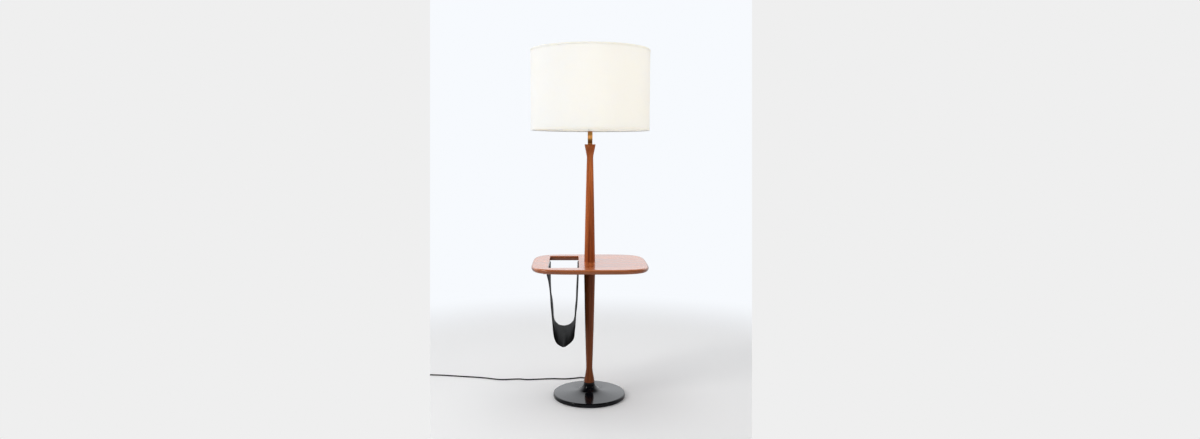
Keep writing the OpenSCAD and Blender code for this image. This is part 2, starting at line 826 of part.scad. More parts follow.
// A strap round the bundle, at the front of the coil
module cord_tie() {
    inner_w = coil_pitch * (coil_turns / 2 - 1) + cord_d + 0.8;
    inner_h = coil_pitch + cord_d + 0.4;
    color([0.2, 0.2, 0.2])
        translate([coil_centre[0] + tie_w / 2, coil_centre[1] - coil_r, tie_t + inner_h / 2])
        rotate([90, 0, -90]) linear_extrude(tie_w) difference() {
            rounded_slot(inner_w + 2 * tie_t, inner_h + 2 * tie_t, 3.5);
            rounded_slot(inner_w, inner_h, 2.5);
        }
}

// The plug lies flat beside the coil, with its blades to the front
module at_plug()
    translate([coil_centre[0] - coil_end_r, coil_centre[1] - cord_d, plug_z]) rotate([90, 0, 0]) children();

module plug_body() {
    color("black") at_plug() difference() {
        union() {
            cylinder(r1 = plug_relief_r, r2 = 6.4, h = plug_relief_l);
            hull() {
                translate([0, 0, plug_relief_l - 2]) linear_extrude(1) rounded_slot(15, 12, 5, $fn = 32);
                translate([0, 0, plug_relief_l + 6]) linear_extrude(1)
                    rounded_slot(plug_w, plug_h, 6, $fn = 32);
            }
            translate([0, 0, plug_relief_l + 6]) linear_extrude(plug_l - 6) rounded_slot(plug_w, plug_h, 6);
        }
        for (x = [-1, 1])
            translate([x * blade_gap / 2 - blade_t / 2, -blade_w / 2, plug_relief_l + plug_l - 6])
                cube([blade_t, blade_w, 7]);
    }
}

module plug_blades() {
    color(brass_tone) at_plug() for (x = [-1, 1])
        translate([x * blade_gap / 2 - blade_t / 2, -blade_w / 2, plug_relief_l + plug_l - 6])
            cube([blade_t, blade_w, 6 + blade_l]);
}

felt_pad();
bottom_plate();
base_weight();
base_shell();
base_washer();
base_nut();
centre_rod();
inner_wire();
cord_bushing();
lower_column();
table_top();
upper_column();
leather_sling();
sling_batten_left();
sling_batten_right();
sling_screws();
neck_tube();
neck_collar();
riser_sleeve();
harp_saddle();
harp_ferrules();
harp();
harp_stud();
socket_cap();
socket_shell();
socket_liner();
socket_screw_shell();
switch_body();
switch_key();
bulb_cap();
bulb_glass();
shade_drum();
shade_trim_top();
shade_trim_bottom();
shade_top_ring();
shade_bottom_ring();
shade_spider();
finial();
cord_run();
cord_coil();
cord_tie();
plug_body();
plug_blades();
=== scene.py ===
"""Looks of the floor lamp with a table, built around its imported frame. Metres, +Z up, +Y to the back."""

import math

import bmesh
import bpy
from mathutils import Matrix, Vector


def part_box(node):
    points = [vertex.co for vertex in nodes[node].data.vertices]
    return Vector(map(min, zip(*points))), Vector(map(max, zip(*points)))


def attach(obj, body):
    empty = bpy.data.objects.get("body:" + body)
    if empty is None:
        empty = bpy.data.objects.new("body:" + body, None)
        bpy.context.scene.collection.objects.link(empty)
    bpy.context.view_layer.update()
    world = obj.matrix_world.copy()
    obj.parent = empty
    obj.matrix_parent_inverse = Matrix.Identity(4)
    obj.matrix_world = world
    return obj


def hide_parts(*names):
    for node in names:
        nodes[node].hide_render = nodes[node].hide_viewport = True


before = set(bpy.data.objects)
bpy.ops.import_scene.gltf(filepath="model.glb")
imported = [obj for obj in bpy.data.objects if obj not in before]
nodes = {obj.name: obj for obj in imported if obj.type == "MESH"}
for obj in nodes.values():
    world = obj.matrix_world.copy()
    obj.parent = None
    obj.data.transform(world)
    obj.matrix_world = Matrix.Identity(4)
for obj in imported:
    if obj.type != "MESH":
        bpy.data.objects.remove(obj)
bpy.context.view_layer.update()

# ---- Places taken from the frame ----

table_low, table_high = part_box("table_top")
shade_low, shade_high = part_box("shade_drum")
harp_low, harp_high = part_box("harp")
saddle_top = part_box("harp_saddle")[1].z

# ---- Sizes that the frame does not give ----

MM = 0.001
TABLE_POWER = 4.4       # how square the table's outline is
SLOT_WIDTH = 0.129
SLOT_LENGTH = 0.330
SLOT_RIGHT = -0.048
ROD_HOLE = 0.0054       # radius of the hole for the rod
LEATHER = 0.003         # thickness
SLING_LENGTH = 0.310    # front to back
CORD = 0.006            # diameter
DRUM_R = 0.254          # radius that the shade's weave is laid round


# ---- Curves ----


def smoothstep(t):
    t = min(1.0, max(0.0, t))
    return t * t * (3 - 2 * t)


def lerp(a, b, t):
    return a + (b - a) * t


def angles(start, end, steps):
    """Angles in radians, from start to end, which are in degrees."""
    return [math.radians(lerp(start, end, k / steps)) for k in range(steps + 1)]


def bezier(points, steps):
    """Points on the cubic curve with those four handles."""
    a, b, c, d = (Vector(p) for p in points)
    curve = []
    for i in range(steps + 1):
        t = i / steps
        s = 1 - t
        curve.append(s**3 * a + 3 * s * s * t * b + 3 * s * t * t * c + t**3 * d)
    return curve


def through(points, step):
    """A smooth curve through the points, with a point about every step."""
    points = [Vector(p) for p in points]
    last = len(points) - 1
    headings = [(points[min(i + 1, last)] - points[max(i - 1, 0)]).normalized() for i in range(last + 1)]
    curve = [points[0]]
    for i in range(last):
        a, b = points[i], points[i + 1]
        span = (b - a).length
        count = max(1, math.ceil(span / step))
        start, end = headings[i] * span, headings[i + 1] * span
        for k in range(1, count + 1):
            t = k / count
            curve.append(
                (1 + 2 * t) * (1 - t) ** 2 * a
                + t * (1 - t) ** 2 * start
                + t * t * (3 - 2 * t) * b
                - t * t * (1 - t) * end
            )
    return curve


def length_of(points):
    return sum((b - a).length for a, b in zip(points, points[1:]))


def resample(points, count):
    """The same line, cut into equal lengths."""
    points = [Vector(p) for p in points]
    total = length_of(points)
    cut, walked, index = [points[0]], 0.0, 0
    for k in range(1, count):
        goal = total * k / count
        while walked + (points[index + 1] - points[index]).length < goal:
            walked += (points[index + 1] - points[index]).length
            index += 1
        piece = points[index + 1] - points[index]
        cut.append(points[index] + piece * ((goal - walked) / piece.length))
    cut.append(points[-1])
    return cut


# ---- Meshes ----


def put(name, data, material=None):
    """A new object in the scene."""
    obj = bpy.data.objects.new(name, data)
    bpy.context.scene.collection.objects.link(obj)
    if material:
        obj.data.materials.append(material)
    return obj


def new_object(name, data, body, slot, material, *replaced):
    """A piece on that body, in place of the nodes that it replaces."""
    obj = put(name, data, material)
    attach(obj, body)
    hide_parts(*replaced)
    return obj


def mesh_of(name, points, faces, smooth=True):
    mesh = bpy.data.meshes.new(name)
    mesh.from_pydata([tuple(p) for p in points], [], faces)
    mesh.validate()
    mesh.polygons.foreach_set("use_smooth", [smooth] * len(mesh.polygons))
    mesh.update()
    work = bmesh.new()
    work.from_mesh(mesh)
    return finished(work, mesh)


def finished(work, mesh):
    """The mesh from this work, with every face turned to the outside."""
    bmesh.ops.recalc_face_normals(work, faces=work.faces)
    work.to_mesh(mesh)
    work.free()
    return mesh


def loft(name, rings, closed=False):
    """Faces between rings of equal count; closed joins the last ring to the first, and else both get caps."""
    count, sides = len(rings), len(rings[0])
    points = [p for ring in rings for p in ring]
    faces = []
    for i in range(count if closed else count - 1):
        here, there = i * sides, (i + 1) % count * sides
        for k in range(sides):
            after = (k + 1) % sides
            faces.append((here + k, here + after, there + after, there + k))
    if not closed:
        faces.append(tuple(range(sides)))
        faces.append(tuple(range(len(points) - sides, len(points))))
    return mesh_of(name, points, faces)


def tube_rings(path, radius, sides, up):
    """Rings round a path; up is a way that the path never takes."""
    rings = []
    last = len(path) - 1
    for i, point in enumerate(path):
        along = (path[min(i + 1, last)] - path[max(i - 1, 0)]).normalized()
        side = along.cross(up).normalized()
        over = side.cross(along)
        turns = angles(0, 360, sides)[:-1]
        rings.append([point + radius * (math.cos(a) * side + math.sin(a) * over) for a in turns])
    return rings


def join_rings(work, rings):
    """Smooth faces between closed rings of the work's own points."""
    for a, b in zip(rings, rings[1:]):
        for k in range(len(a)):
            after = (k + 1) % len(a)
            work.faces.new((a[k], a[after], b[after], b[k])).smooth = True


def circle(r, z, steps, extra=None):
    """Points round the axis; extra is a function of the angle that adds to the radius."""
    ring = []
    for k in range(steps):
        angle = math.tau * k / steps
        reach = r + (extra(angle) if extra else 0)
        ring.append((reach * math.cos(angle), reach * math.sin(angle), z))
    return ring


def lathe(name, profile, steps, extra=None):
    """A hollow turned piece; the profile is a closed line of (radius, height)."""
    return loft(name, [circle(r, z, steps, extra) for r, z in profile], closed=True)


def sharpen(mesh, degrees):
    """Edges that turn by more than this stay crisp."""
    work = bmesh.new()
    work.from_mesh(mesh)
    for edge in work.edges:
        if len(edge.link_faces) == 2 and edge.calc_face_angle() > math.radians(degrees):
            edge.smooth = False
    work.to_mesh(mesh)
    work.free()
    return mesh


# ---- Shader nodes ----


def add_node(tree, kind, inputs=None, **settings):
    """A node in that tree; an input is a value, or the socket that feeds it."""
    made = tree.nodes.new(kind)
    for name, value in settings.items():
        setattr(made, name, value)
    for key, value in (inputs or {}).items():
        feed(tree, made.inputs[key], value)
    return made


def feed(tree, socket, value):
    if isinstance(value, bpy.types.NodeSocket):
        tree.links.new(value, socket)
    else:
        socket.default_value = value


def add_ramp(tree, factor, stops):
    """Colours or greys by (place, colour)."""
    made = add_node(tree, "ShaderNodeValToRGB", {0: factor})
    elements = made.color_ramp.elements
    while len(elements) < len(stops):
        elements.new(0.5)
    for element, (place, colour) in zip(elements, stops):
        element.position = place
        element.color = (colour,) * 3 + (1,) if isinstance(colour, float) else (*colour, 1)
    return made.outputs[0]


class Shader:
    """A material with one Principled shader, and short ways to add to it."""

    def __init__(self, name, **sockets):
        self.material = bpy.data.materials.new(name)
        self.material.use_nodes = True
        self.tree = self.material.node_tree
        self.principled = self.tree.nodes["Principled BSDF"]
        for socket, value in sockets.items():
            self.principled.inputs[socket.replace("_", " ")].default_value = value
        self.place = self.node("ShaderNodeTexCoord").outputs["Object"]

    def node(self, kind, inputs=None, **settings):
        return add_node(self.tree, kind, inputs, **settings)

    def math(self, operation, *values):
        return self.node("ShaderNodeMath", dict(enumerate(values)), operation=operation).outputs[0]

    def plus(self, a, b):
        return self.math("ADD", a, b)

    def times(self, a, b):
        return self.math("MULTIPLY", a, b)

    def reach(self, x, y):
        """The distance from the axis."""
        return self.math("SQRT", self.plus(self.math("POWER", x, 2.0), self.math("POWER", y, 2.0)))

    def split(self, vector):
        return self.node("ShaderNodeSeparateXYZ", {0: vector}).outputs

    def join(self, x, y, z):
        return self.node("ShaderNodeCombineXYZ", {0: x, 1: y, 2: z}).outputs[0]

    def scaled(self, vector, scale, turn=(0, 0, 0)):
        inputs = {"Vector": vector, "Scale": scale, "Rotation": turn}
        return self.node("ShaderNodeMapping", inputs).outputs[0]

    def noise(self, vector, scale, detail=3.0, roughness=0.55):
        inputs = {"Vector": vector, "Scale": scale, "Detail": detail, "Roughness": roughness}
        return self.node("ShaderNodeTexNoise", inputs).outputs["Fac"]

    def cells(self, scale, feature="F1"):
        inputs = {"Vector": self.place, "Scale": scale}
        return self.node("ShaderNodeTexVoronoi", inputs, feature=feature).outputs["Distance"]

    def ramp(self, factor, *stops):
        return add_ramp(self.tree, factor, stops)

    def by_height(self, *stops):
        """A grey by (height in metres, level)."""
        low, high = stops[0][0], stops[-1][0]
        share = self.node("ShaderNodeMapRange", {0: self.split(self.place)[2], 1: low, 2: high}).outputs[0]
        return self.ramp(share, *[((height - low) / (high - low), level) for height, level in stops])

    def mix(self, factor, a, b, blend="MIX"):
        made = self.node("ShaderNodeMix", data_type="RGBA", blend_type=blend)
        for key, value in ((0, factor), (6, a), (7, b)):
            feed(self.tree, made.inputs[key], (*value, 1) if isinstance(value, tuple) else value)
        return made.outputs[2]

    def spread(self, factor, low, high):
        """A number from low to high as the factor goes from 0 to 1."""
        return self.node("ShaderNodeMapRange", {0: factor, 3: low, 4: high}).outputs[0]

    def colour(self, value):
        feed(self.tree, self.principled.inputs["Base Color"], value)

    def roughness(self, value):
        feed(self.tree, self.principled.inputs["Roughness"], value)

    def bump(self, *layers):
        """Layers of (height, depth in metres), the coarsest first."""
        normal = None
        for height, depth in layers:
            made = self.node("ShaderNodeBump", {"Height": height, "Distance": depth, "Strength": 1.0})
            if normal is not None:
                feed(self.tree, made.inputs["Normal"], normal)
            normal = made.outputs[0]
        feed(self.tree, self.principled.inputs["Normal"], normal)

    def cylinder(self, radius):
        """Metres round the axis and metres up it."""
        x, y, z = self.split(self.place)
        return self.times(self.math("ARCTAN2", y, x), radius), z


# ---- Wood ----

WALNUT_DARK = (0.130, 0.025, 0.0055)
WALNUT = (0.310, 0.078, 0.019)
WALNUT_LIGHT = (0.430, 0.140, 0.043)
WALNUT_PORE = (0.04, 0.012, 0.005)
WALNUT_BOARD = (0.42, 0.16, 0.065)  # what some boards lean to
YEARS_PER_METRE = 210.0


def walnut(name, turn, pith, tone=1.0, boards=None, polish=(0.30, 0.46), painted_shade=None, **finish):
    """Lacquered walnut. turn brings the grain onto the local Z; pith is the tree's middle, off to one side.
    boards is the width of the glued boards, across the grain; polish is the range of the roughness.
    The height table darkens the wood as painted shade, given as (height, level)."""
    wood = Shader(name, IOR=1.5, **finish)
    x, y, z = wood.split(wood.scaled(wood.place, (1, 1, 1), turn=turn))
    tint = None
    if boards:
        board = wood.math("FLOOR", wood.math("DIVIDE", wood.plus(x, 0.5 * boards), boards))
        tint = wood.node("ShaderNodeTexWhiteNoise", {"W": board}, noise_dimensions="1D").outputs["Value"]
        x = wood.plus(x, wood.times(tint, 0.05))
        z = wood.plus(z, wood.times(tint, 0.9))

    def drawn(share):
        """The place, drawn out along the grain: the smaller the share, the longer the figure."""
        return wood.join(x, y, wood.times(z, share))

    slow = drawn(0.11)
    sway = wood.math("SUBTRACT", wood.noise(slow, 7.0, detail=2.0), 0.5)
    fine_sway = wood.math("SUBTRACT", wood.noise(slow, 60.0), 0.5)
    from_x = wood.plus(wood.math("SUBTRACT", x, pith[0]), wood.times(sway, 0.07))
    from_y = wood.math("SUBTRACT", y, pith[1])
    reach = wood.plus(wood.reach(from_x, from_y), wood.times(fine_sway, 0.0035))
    year = wood.math("FRACT", wood.times(reach, YEARS_PER_METRE))
    late = wood.ramp(year, (0.0, 0.25), (0.55, 0.5), (0.9, 1.0), (1.0, 0.25))
    streak = wood.noise(drawn(0.035), 95.0, detail=4.0, roughness=0.6)
    broad = wood.noise(drawn(0.16), 13.0, detail=2.0)
    pores = wood.ramp(wood.noise(drawn(0.02), 1300.0, detail=2.0), (0.60, 0.0), (0.70, 1.0))
    figure = wood.plus(wood.times(streak, 0.62), wood.times(broad, 0.38))
    base = wood.ramp(figure, (0.32, WALNUT_DARK), (0.50, WALNUT), (0.68, WALNUT_LIGHT))
    base = wood.mix(wood.times(late, 0.34), base, WALNUT_DARK)
    base = wood.mix(wood.times(pores, 0.30), base, WALNUT_PORE)
    if boards:
        base = wood.mix(wood.times(tint, 0.30), base, WALNUT_BOARD)
    # Painted shade: the wood is darkened by height.
    if painted_shade:
        base = wood.mix(1.0, base, wood.by_height(*painted_shade), blend="MULTIPLY")
    base = wood.mix(1.0, base, (tone, tone, tone), blend="MULTIPLY")
    wood.colour(base)
    wood.roughness(wood.spread(streak, *polish))
    wood.bump((late, 0.00004), (pores, 0.00005))
    return wood.material


# ---- Metals and paint ----

BRUSHED = 0.00001       # depth of the fine lines left by polishing in the lathe
BRUSH_LINES = 2600.0    # how close they are
BRUSH_R = 0.01          # radius that they run round


def metal(name, colour, rough, worn, brushed=0.0):
    """Metal with cloudy polish; brushed gives the depth of fine lines round the axis."""
    made = Shader(name, Metallic=1.0)
    cloud = made.noise(made.place, 60.0, detail=4.0)
    spots = made.noise(made.place, 420.0)
    made.colour(made.mix(made.ramp(cloud, (0.38, 0.0), (0.72, 1.0)), colour, worn))
    made.roughness(made.spread(spots, rough * 0.75, rough * 1.3))
    if brushed:
        around, up = made.cylinder(BRUSH_R)
        lines = made.join(made.times(around, 6.0), 0.0, made.times(up, BRUSH_LINES))
        made.bump((made.noise(lines, 1.0), brushed))
    else:
        made.bump((spots, 0.00001))
    return made.material


NECK_SHADED_BROWN = (0.17, 0.06, 0.016)
NECK_BRIGHT = (0.98, 0.50, 0.15)
NECK_WORN = (0.86, 0.40, 0.11)
# Painted reflection and painted shade on the brass by height above the wood: half bright at its foot, dark
# just above, brightest about two thirds up, dimmer above that
NECK_PAINTED_BANDS = (
    (0.0, 0.45), (0.004, 0.40), (0.0065, 0.0), (0.014, 0.05), (0.020, 0.30), (0.026, 0.85),
    (0.033, 1.0), (0.038, 0.80), (0.042, 0.45), (0.047, 0.45), (0.051, 0.60),
)


def neck_brass():
    """Satin brass, with painted reflection and painted shade in bands by height."""
    made = Shader("brass_neck", Metallic=1.0, Specular_Tint=(0.55, 0.40, 0.25, 1))
    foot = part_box("neck_tube")[0].z
    cloud = made.noise(made.place, 130.0, detail=4.0)
    bright = made.mix(made.ramp(cloud, (0.38, 0.0), (0.72, 1.0)), NECK_BRIGHT, NECK_WORN)
    # Painted reflection and shade: the brass is brightened and darkened by height.
    painted_level = made.by_height(*[(foot + height, level) for height, level in NECK_PAINTED_BANDS])
    made.colour(made.mix(painted_level, NECK_SHADED_BROWN, bright))
    made.roughness(made.spread(cloud, 0.42, 0.58))
    lines = made.join(0.0, 0.0, made.times(made.split(made.place)[2], BRUSH_LINES))
    made.bump((made.noise(lines, 1.0), BRUSHED))
    return made.material


def enamel():
    """Gloss black with a little orange peel and dust-fine wear."""
    made = Shader("black_enamel", IOR=1.5, Specular_IOR_Level=0.16)
    peel = made.noise(made.place, 260.0, detail=1.0)
    haze = made.noise(made.place, 22.0, detail=5.0)
    made.colour(made.ramp(haze, (0.35, (0.003, 0.003, 0.004)), (0.75, (0.006, 0.006, 0.008))))
    made.roughness(made.spread(haze, 0.07, 0.17))
    made.bump((peel, 0.000012))
    return made.material


def grainy(name, scale, dark, light, depth, stretch=(1, 1, 1), detail=3.0, rugged=0.55, dull=None, **finish):
    """A dull surface with one fine grain; stretch draws it out, and dull is the range of the roughness."""
    made = Shader(name, **finish)
    grain = made.noise(made.scaled(made.place, stretch), scale, detail, rugged)
    made.colour(made.ramp(grain, (0.3, dark), (0.7, light)))
    if dull:
        made.roughness(made.spread(grain, *dull))
    made.bump((grain, depth))
    return made.material


# ---- Soft materials ----


def leather():
    """Smooth black hide with creases, fine grain and cloudy dye."""
    made = Shader("black_leather", Specular_IOR_Level=0.016)
    pebble = made.cells(1150.0)
    creases = made.noise(made.scaled(made.place, (1, 0.35, 1)), 210.0, detail=4.0, roughness=0.65)
    cloud = made.noise(made.place, 26.0)
    made.colour(made.ramp(cloud, (0.3, (0.0020, 0.0018, 0.0017)), (0.75, (0.0078, 0.0070, 0.0062))))
    made.roughness(made.spread(creases, 0.36, 0.60))
    made.bump((creases, 0.00022), (pebble, 0.00012))
    return made.material


SLUB_DEPTH = 0.00008
THREAD_DEPTH = 0.000112


def woven(name, colours, pitch, through):
    """Plain weave with slubs, laid round the drum; light goes through it that deep."""
    made = Shader(
        name, Roughness=0.85, Sheen_Weight=0.25, Sheen_Roughness=0.5, Specular_IOR_Level=0.2,
        Subsurface_Weight=0.6, Subsurface_Radius=(1.0, 0.93, 0.8), Subsurface_Scale=through,
    )
    around, up = made.cylinder(DRUM_R)
    wobble = made.times(made.noise(made.place, 180.0), pitch * 0.6)
    turns = math.pi / pitch
    warp = made.math("ABSOLUTE", made.math("SINE", made.times(made.plus(around, wobble), turns)))
    weft = made.math("ABSOLUTE", made.math("SINE", made.times(made.plus(up, wobble), turns)))
    thread = made.math("MAXIMUM", warp, weft)
    long, fine = 22.0, 700.0
    slub_across = made.join(made.times(around, long), 0.0, made.times(up, fine))
    slub_up = made.join(made.times(around, fine), 3.0, made.times(up, long))
    slub = made.plus(made.noise(slub_across, 1.0), made.noise(slub_up, 1.0))
    slub = made.times(slub, 0.5)
    tone = made.plus(made.times(thread, 0.35), made.times(slub, 0.65))
    made.colour(made.ramp(tone, (0.30, colours[0]), (0.62, colours[1])))
    made.bump((slub, SLUB_DEPTH), (thread, THREAD_DEPTH))
    return made.material


def rubber(name, colour, rough, grain=0.00003):
    made = Shader(name, Specular_IOR_Level=0.4)
    skin = made.noise(made.place, 700.0)
    cloud = made.noise(made.place, 35.0)
    bloom = tuple(min(1.0, c * 1.7 + 0.006) for c in colour)
    made.colour(made.mix(made.ramp(cloud, (0.4, 0.0), (0.8, 1.0)), colour, bloom))
    made.roughness(made.spread(skin, rough * 0.85, rough * 1.15))
    made.bump((skin, grain))
    return made.material


def frosted_glass():
    """White-coated glass, as on a soft light bulb."""
    made = Shader("frosted_glass", Subsurface_Weight=0.25, Coat_Weight=0.6, Coat_Roughness=0.12, IOR=1.5)
    mist = made.noise(made.place, 45.0)
    made.colour(made.ramp(mist, (0.3, (0.86, 0.86, 0.83)), (0.7, (0.93, 0.93, 0.91))))
    made.roughness(made.spread(mist, 0.30, 0.42))
    made.bump((made.noise(made.place, 900.0), 0.00001))
    return made.material


def porcelain():
    """White glaze with a faint crackle."""
    made = Shader("porcelain", Coat_Weight=0.5, Coat_Roughness=0.05, IOR=1.5)
    crackle = made.cells(260.0, feature="DISTANCE_TO_EDGE")
    cloud = made.noise(made.place, 30.0)
    glaze = made.ramp(cloud, (0.3, (0.90, 0.89, 0.86)), (0.7, (0.93, 0.925, 0.90)))
    made.colour(made.mix(made.ramp(crackle, (0.0, 0.18), (0.03, 0.0)), glaze, (0.72, 0.69, 0.62)))
    made.roughness(made.spread(cloud, 0.12, 0.22))
    made.bump((made.noise(made.place, 420.0, detail=2.0), 0.00002))
    return made.material


# ---- The materials ----

GRAIN_UP = (0, 0, 0)
GRAIN_ALONG_X = (0, math.radians(90), math.radians(90))
GRAIN_ALONG_Y = (math.radians(90), 0, 0)
# Painted shade: the upper column darkens towards its top, where the lampshade shades its crown.
UPPER_PAINTED_SHADE = ((0.60, 1.0), (0.85, 0.95), (1.00, 0.84), (1.05, 0.68), (1.12, 0.55))
# Painted shade: the table darkens below its top face, down the rounded edge and underneath.
TABLE_EDGE_PAINTED_SHADE = ((table_high.z - 0.008, 0.5), (table_high.z - 0.0008, 1.0))
# The lower column's walnut is a darker copy: its low tone is painted shade under the table and the sling.
WALNUT_LOWER = walnut("walnut_lower_column", GRAIN_UP, (0.062, 0.085), tone=0.62, Specular_IOR_Level=0.15)
WALNUT_UPPER = walnut(
    "walnut_upper_column", GRAIN_UP, (-0.075, 0.060), tone=1.65, painted_shade=UPPER_PAINTED_SHADE,
    Specular_IOR_Level=0.12,
)
WALNUT_TABLE = walnut(
    "walnut_table", GRAIN_ALONG_X, (0.02, 0.11), tone=1.75, boards=0.112, polish=(0.08, 0.36),
    painted_shade=TABLE_EDGE_PAINTED_SHADE, Coat_Weight=0.25, Specular_IOR_Level=0.35,
)
WALNUT_BATTEN = walnut("walnut_batten", GRAIN_ALONG_Y, (0.05, 0.07), tone=0.9, Specular_IOR_Level=0.15)
ENAMEL = enamel()
BRASS = metal("brass", (0.82, 0.40, 0.105), 0.26, (0.60, 0.27, 0.065))
BRASS_TURNED = metal("brass_turned", (0.82, 0.38, 0.095), 0.24, (0.62, 0.27, 0.06), brushed=BRUSHED)
BRASS_NECK = neck_brass()
# The collar's brass is a darker copy: painted shade under the lower edge of the lampshade.
BRASS_COLLAR = metal("brass_collar", (0.40, 0.17, 0.045), 0.36, (0.26, 0.10, 0.03), brushed=BRUSHED)
PORCELAIN = porcelain()
STEEL = metal("zinc_plated_steel", (0.60, 0.60, 0.61), 0.34, (0.44, 0.44, 0.43))
ALUMINIUM = metal("aluminium", (0.80, 0.80, 0.81), 0.3, (0.66, 0.66, 0.67), brushed=BRUSHED)
IRON = grainy(
    "cast_iron", 900.0, (0.035, 0.034, 0.033), (0.075, 0.072, 0.07), 0.0002, dull=(0.55, 0.8), Metallic=0.6,
)
LEATHER_BLACK = leather()
LINEN = woven("shade_linen", ((0.90, 0.880, 0.815), (0.955, 0.940, 0.890)), pitch=0.0009, through=0.003)
TAPE = woven("shade_tape", ((0.94, 0.90, 0.80), (0.98, 0.95, 0.87)), pitch=0.0007, through=0.0004)
RUBBER = rubber("cord_jacket", (0.012, 0.009, 0.008), 0.42)
MOULDED = rubber("moulded_plug", (0.014, 0.011, 0.010), 0.36, grain=0.00005)
PHENOLIC = rubber("phenolic", (0.016, 0.010, 0.007), 0.22, grain=0.00001)
FELT = grainy(
    "felt", 1400.0, (0.010, 0.010, 0.011), (0.045, 0.045, 0.048), 0.0004, detail=5.0, rugged=0.7,
    Roughness=0.95, Sheen_Weight=0.6, Specular_IOR_Level=0.1,
)
CARD = grainy(
    "insulating_card", 900.0, (0.36, 0.27, 0.15), (0.52, 0.42, 0.27), 0.00006,
    stretch=(1, 1, 0.2), detail=4.0, Roughness=0.8,
)
GLASS = frosted_glass()

# ---- CAD nodes that stay as they are ----

KEPT = [
    (FELT, ["felt_pad"]),
    (STEEL, ["bottom_plate", "base_washer", "base_nut", "centre_rod"]),
    (STEEL, ["shade_top_ring", "shade_bottom_ring", "shade_spider"]),
    (IRON, ["base_weight"]),
    (RUBBER, ["inner_wire"]),
    (MOULDED, ["cord_bushing"]),
    (WALNUT_LOWER, ["lower_column"]),
    (WALNUT_UPPER, ["upper_column"]),
    (WALNUT_BATTEN, ["sling_batten_left", "sling_batten_right"]),
    (BRASS_NECK, ["neck_tube"]),
    (BRASS_COLLAR, ["neck_collar"]),
    (PORCELAIN, ["riser_sleeve"]),
    (BRASS, ["harp_saddle", "harp_stud", "socket_screw_shell", "plug_blades"]),
    (BRASS_TURNED, ["harp_ferrules", "socket_cap", "socket_shell", "finial"]),
    (CARD, ["socket_liner"]),
    (PHENOLIC, ["switch_body", "switch_key"]),
    (ALUMINIUM, ["bulb_cap"]),
    (GLASS, ["bulb_glass"]),
]


def dress_kept_nodes():
    for material, names in KEPT:
        for name in names:
            mesh = nodes[name].data
            mesh.materials.clear()
            mesh.materials.append(material)


# ---- Camera ----

# The camera stands a little left of the lamp's middle and looks slightly down at it. Angles in degrees.
CAMERA_AT = Vector((-0.0706, -3.0804, 1.0885))
CAMERA_PITCH = 5.61
CAMERA_YAW = 1.45
CAMERA_ROLL = 0.22
FOCAL_PIXELS = 712.3    # the focal length, in pixels of the picture
FRAME_W = 1200
FRAME_H = 439
MIDDLE_X = 591.5        # the lens's axis in the picture
MIDDLE_Y = 220.0
SENSOR = 36.0


def make_camera():
    data = bpy.data.cameras.new("camera")
    data.sensor_width = SENSOR
    data.sensor_fit = "HORIZONTAL"
    data.lens = FOCAL_PIXELS / FRAME_W * SENSOR
    data.shift_x = (FRAME_W / 2 - MIDDLE_X) / FRAME_W
    data.shift_y = (MIDDLE_Y - FRAME_H / 2) / FRAME_W
    data.clip_start = 0.0005
    data.clip_end = 50
    camera = put("camera", data)
    turn = Matrix.Rotation(math.radians(-CAMERA_YAW), 4, "Z")
    tilt = Matrix.Rotation(math.radians(90 - CAMERA_PITCH), 4, "X")
    roll = Matrix.Rotation(math.radians(CAMERA_ROLL), 4, "Z")
    camera.matrix_world = Matrix.Translation(CAMERA_AT) @ turn @ tilt @ roll
    bpy.context.scene.camera = camera
    return camera


# ---- Surroundings ----

WHITE = (0.93, 0.955, 0.99)
BORDER_LEFT = 430       # where the picture starts, in pixels of its frame
BORDER_RIGHT = 752      # where it ends
BORDER_SPARE = 60       # how far the margins reach past the frame
BORDER_GREY = 0.863
BORDER_DISTANCE = 0.003


def glow(name, colour):
    """A material that shows its own colour in any light."""
    material = bpy.data.materials.new(name)
    material.use_nodes = True
    tree = material.node_tree
    tree.nodes.clear()
    emission = add_node(tree, "ShaderNodeEmission", {0: (*colour, 1), 1: 1.0})
    add_node(tree, "ShaderNodeOutputMaterial", {0: emission.outputs[0]})
    return material


def make_borders(camera):
    """The blank margins at both sides of the picture, just in front of the camera and seen by it alone."""
    grey = glow("margin_grey", (BORDER_GREY,) * 3)
    pixel = BORDER_DISTANCE / FOCAL_PIXELS
    high = (MIDDLE_Y + BORDER_SPARE) * pixel
    low = -(FRAME_H - MIDDLE_Y + BORDER_SPARE) * pixel
    spans = {"left": (-BORDER_SPARE, BORDER_LEFT), "right": (BORDER_RIGHT, FRAME_W + BORDER_SPARE)}
    for name, (start, end) in spans.items():
        x0 = (start - MIDDLE_X) * pixel
        x1 = (end - MIDDLE_X) * pixel
        corners = [(x0, low, 0), (x1, low, 0), (x1, high, 0), (x0, high, 0)]
        panel = put("margin_" + name, mesh_of("margin_" + name, corners, [(0, 1, 2, 3)], smooth=False), grey)
        panel.matrix_world = camera.matrix_world @ Matrix.Translation((0, 0, -BORDER_DISTANCE))
        for ray in ("diffuse", "glossy", "transmission", "volume_scatter", "shadow"):
            setattr(panel, f"visible_{ray}", False)


FLOOR_R = 6.0
FLOOR_Z = -0.0004       # just under the felt
FLOOR_COLOUR = (0.96, 0.96, 0.96, 1)
FLOOR_FADE = (1.15, 2.3)  # from where to where it fades


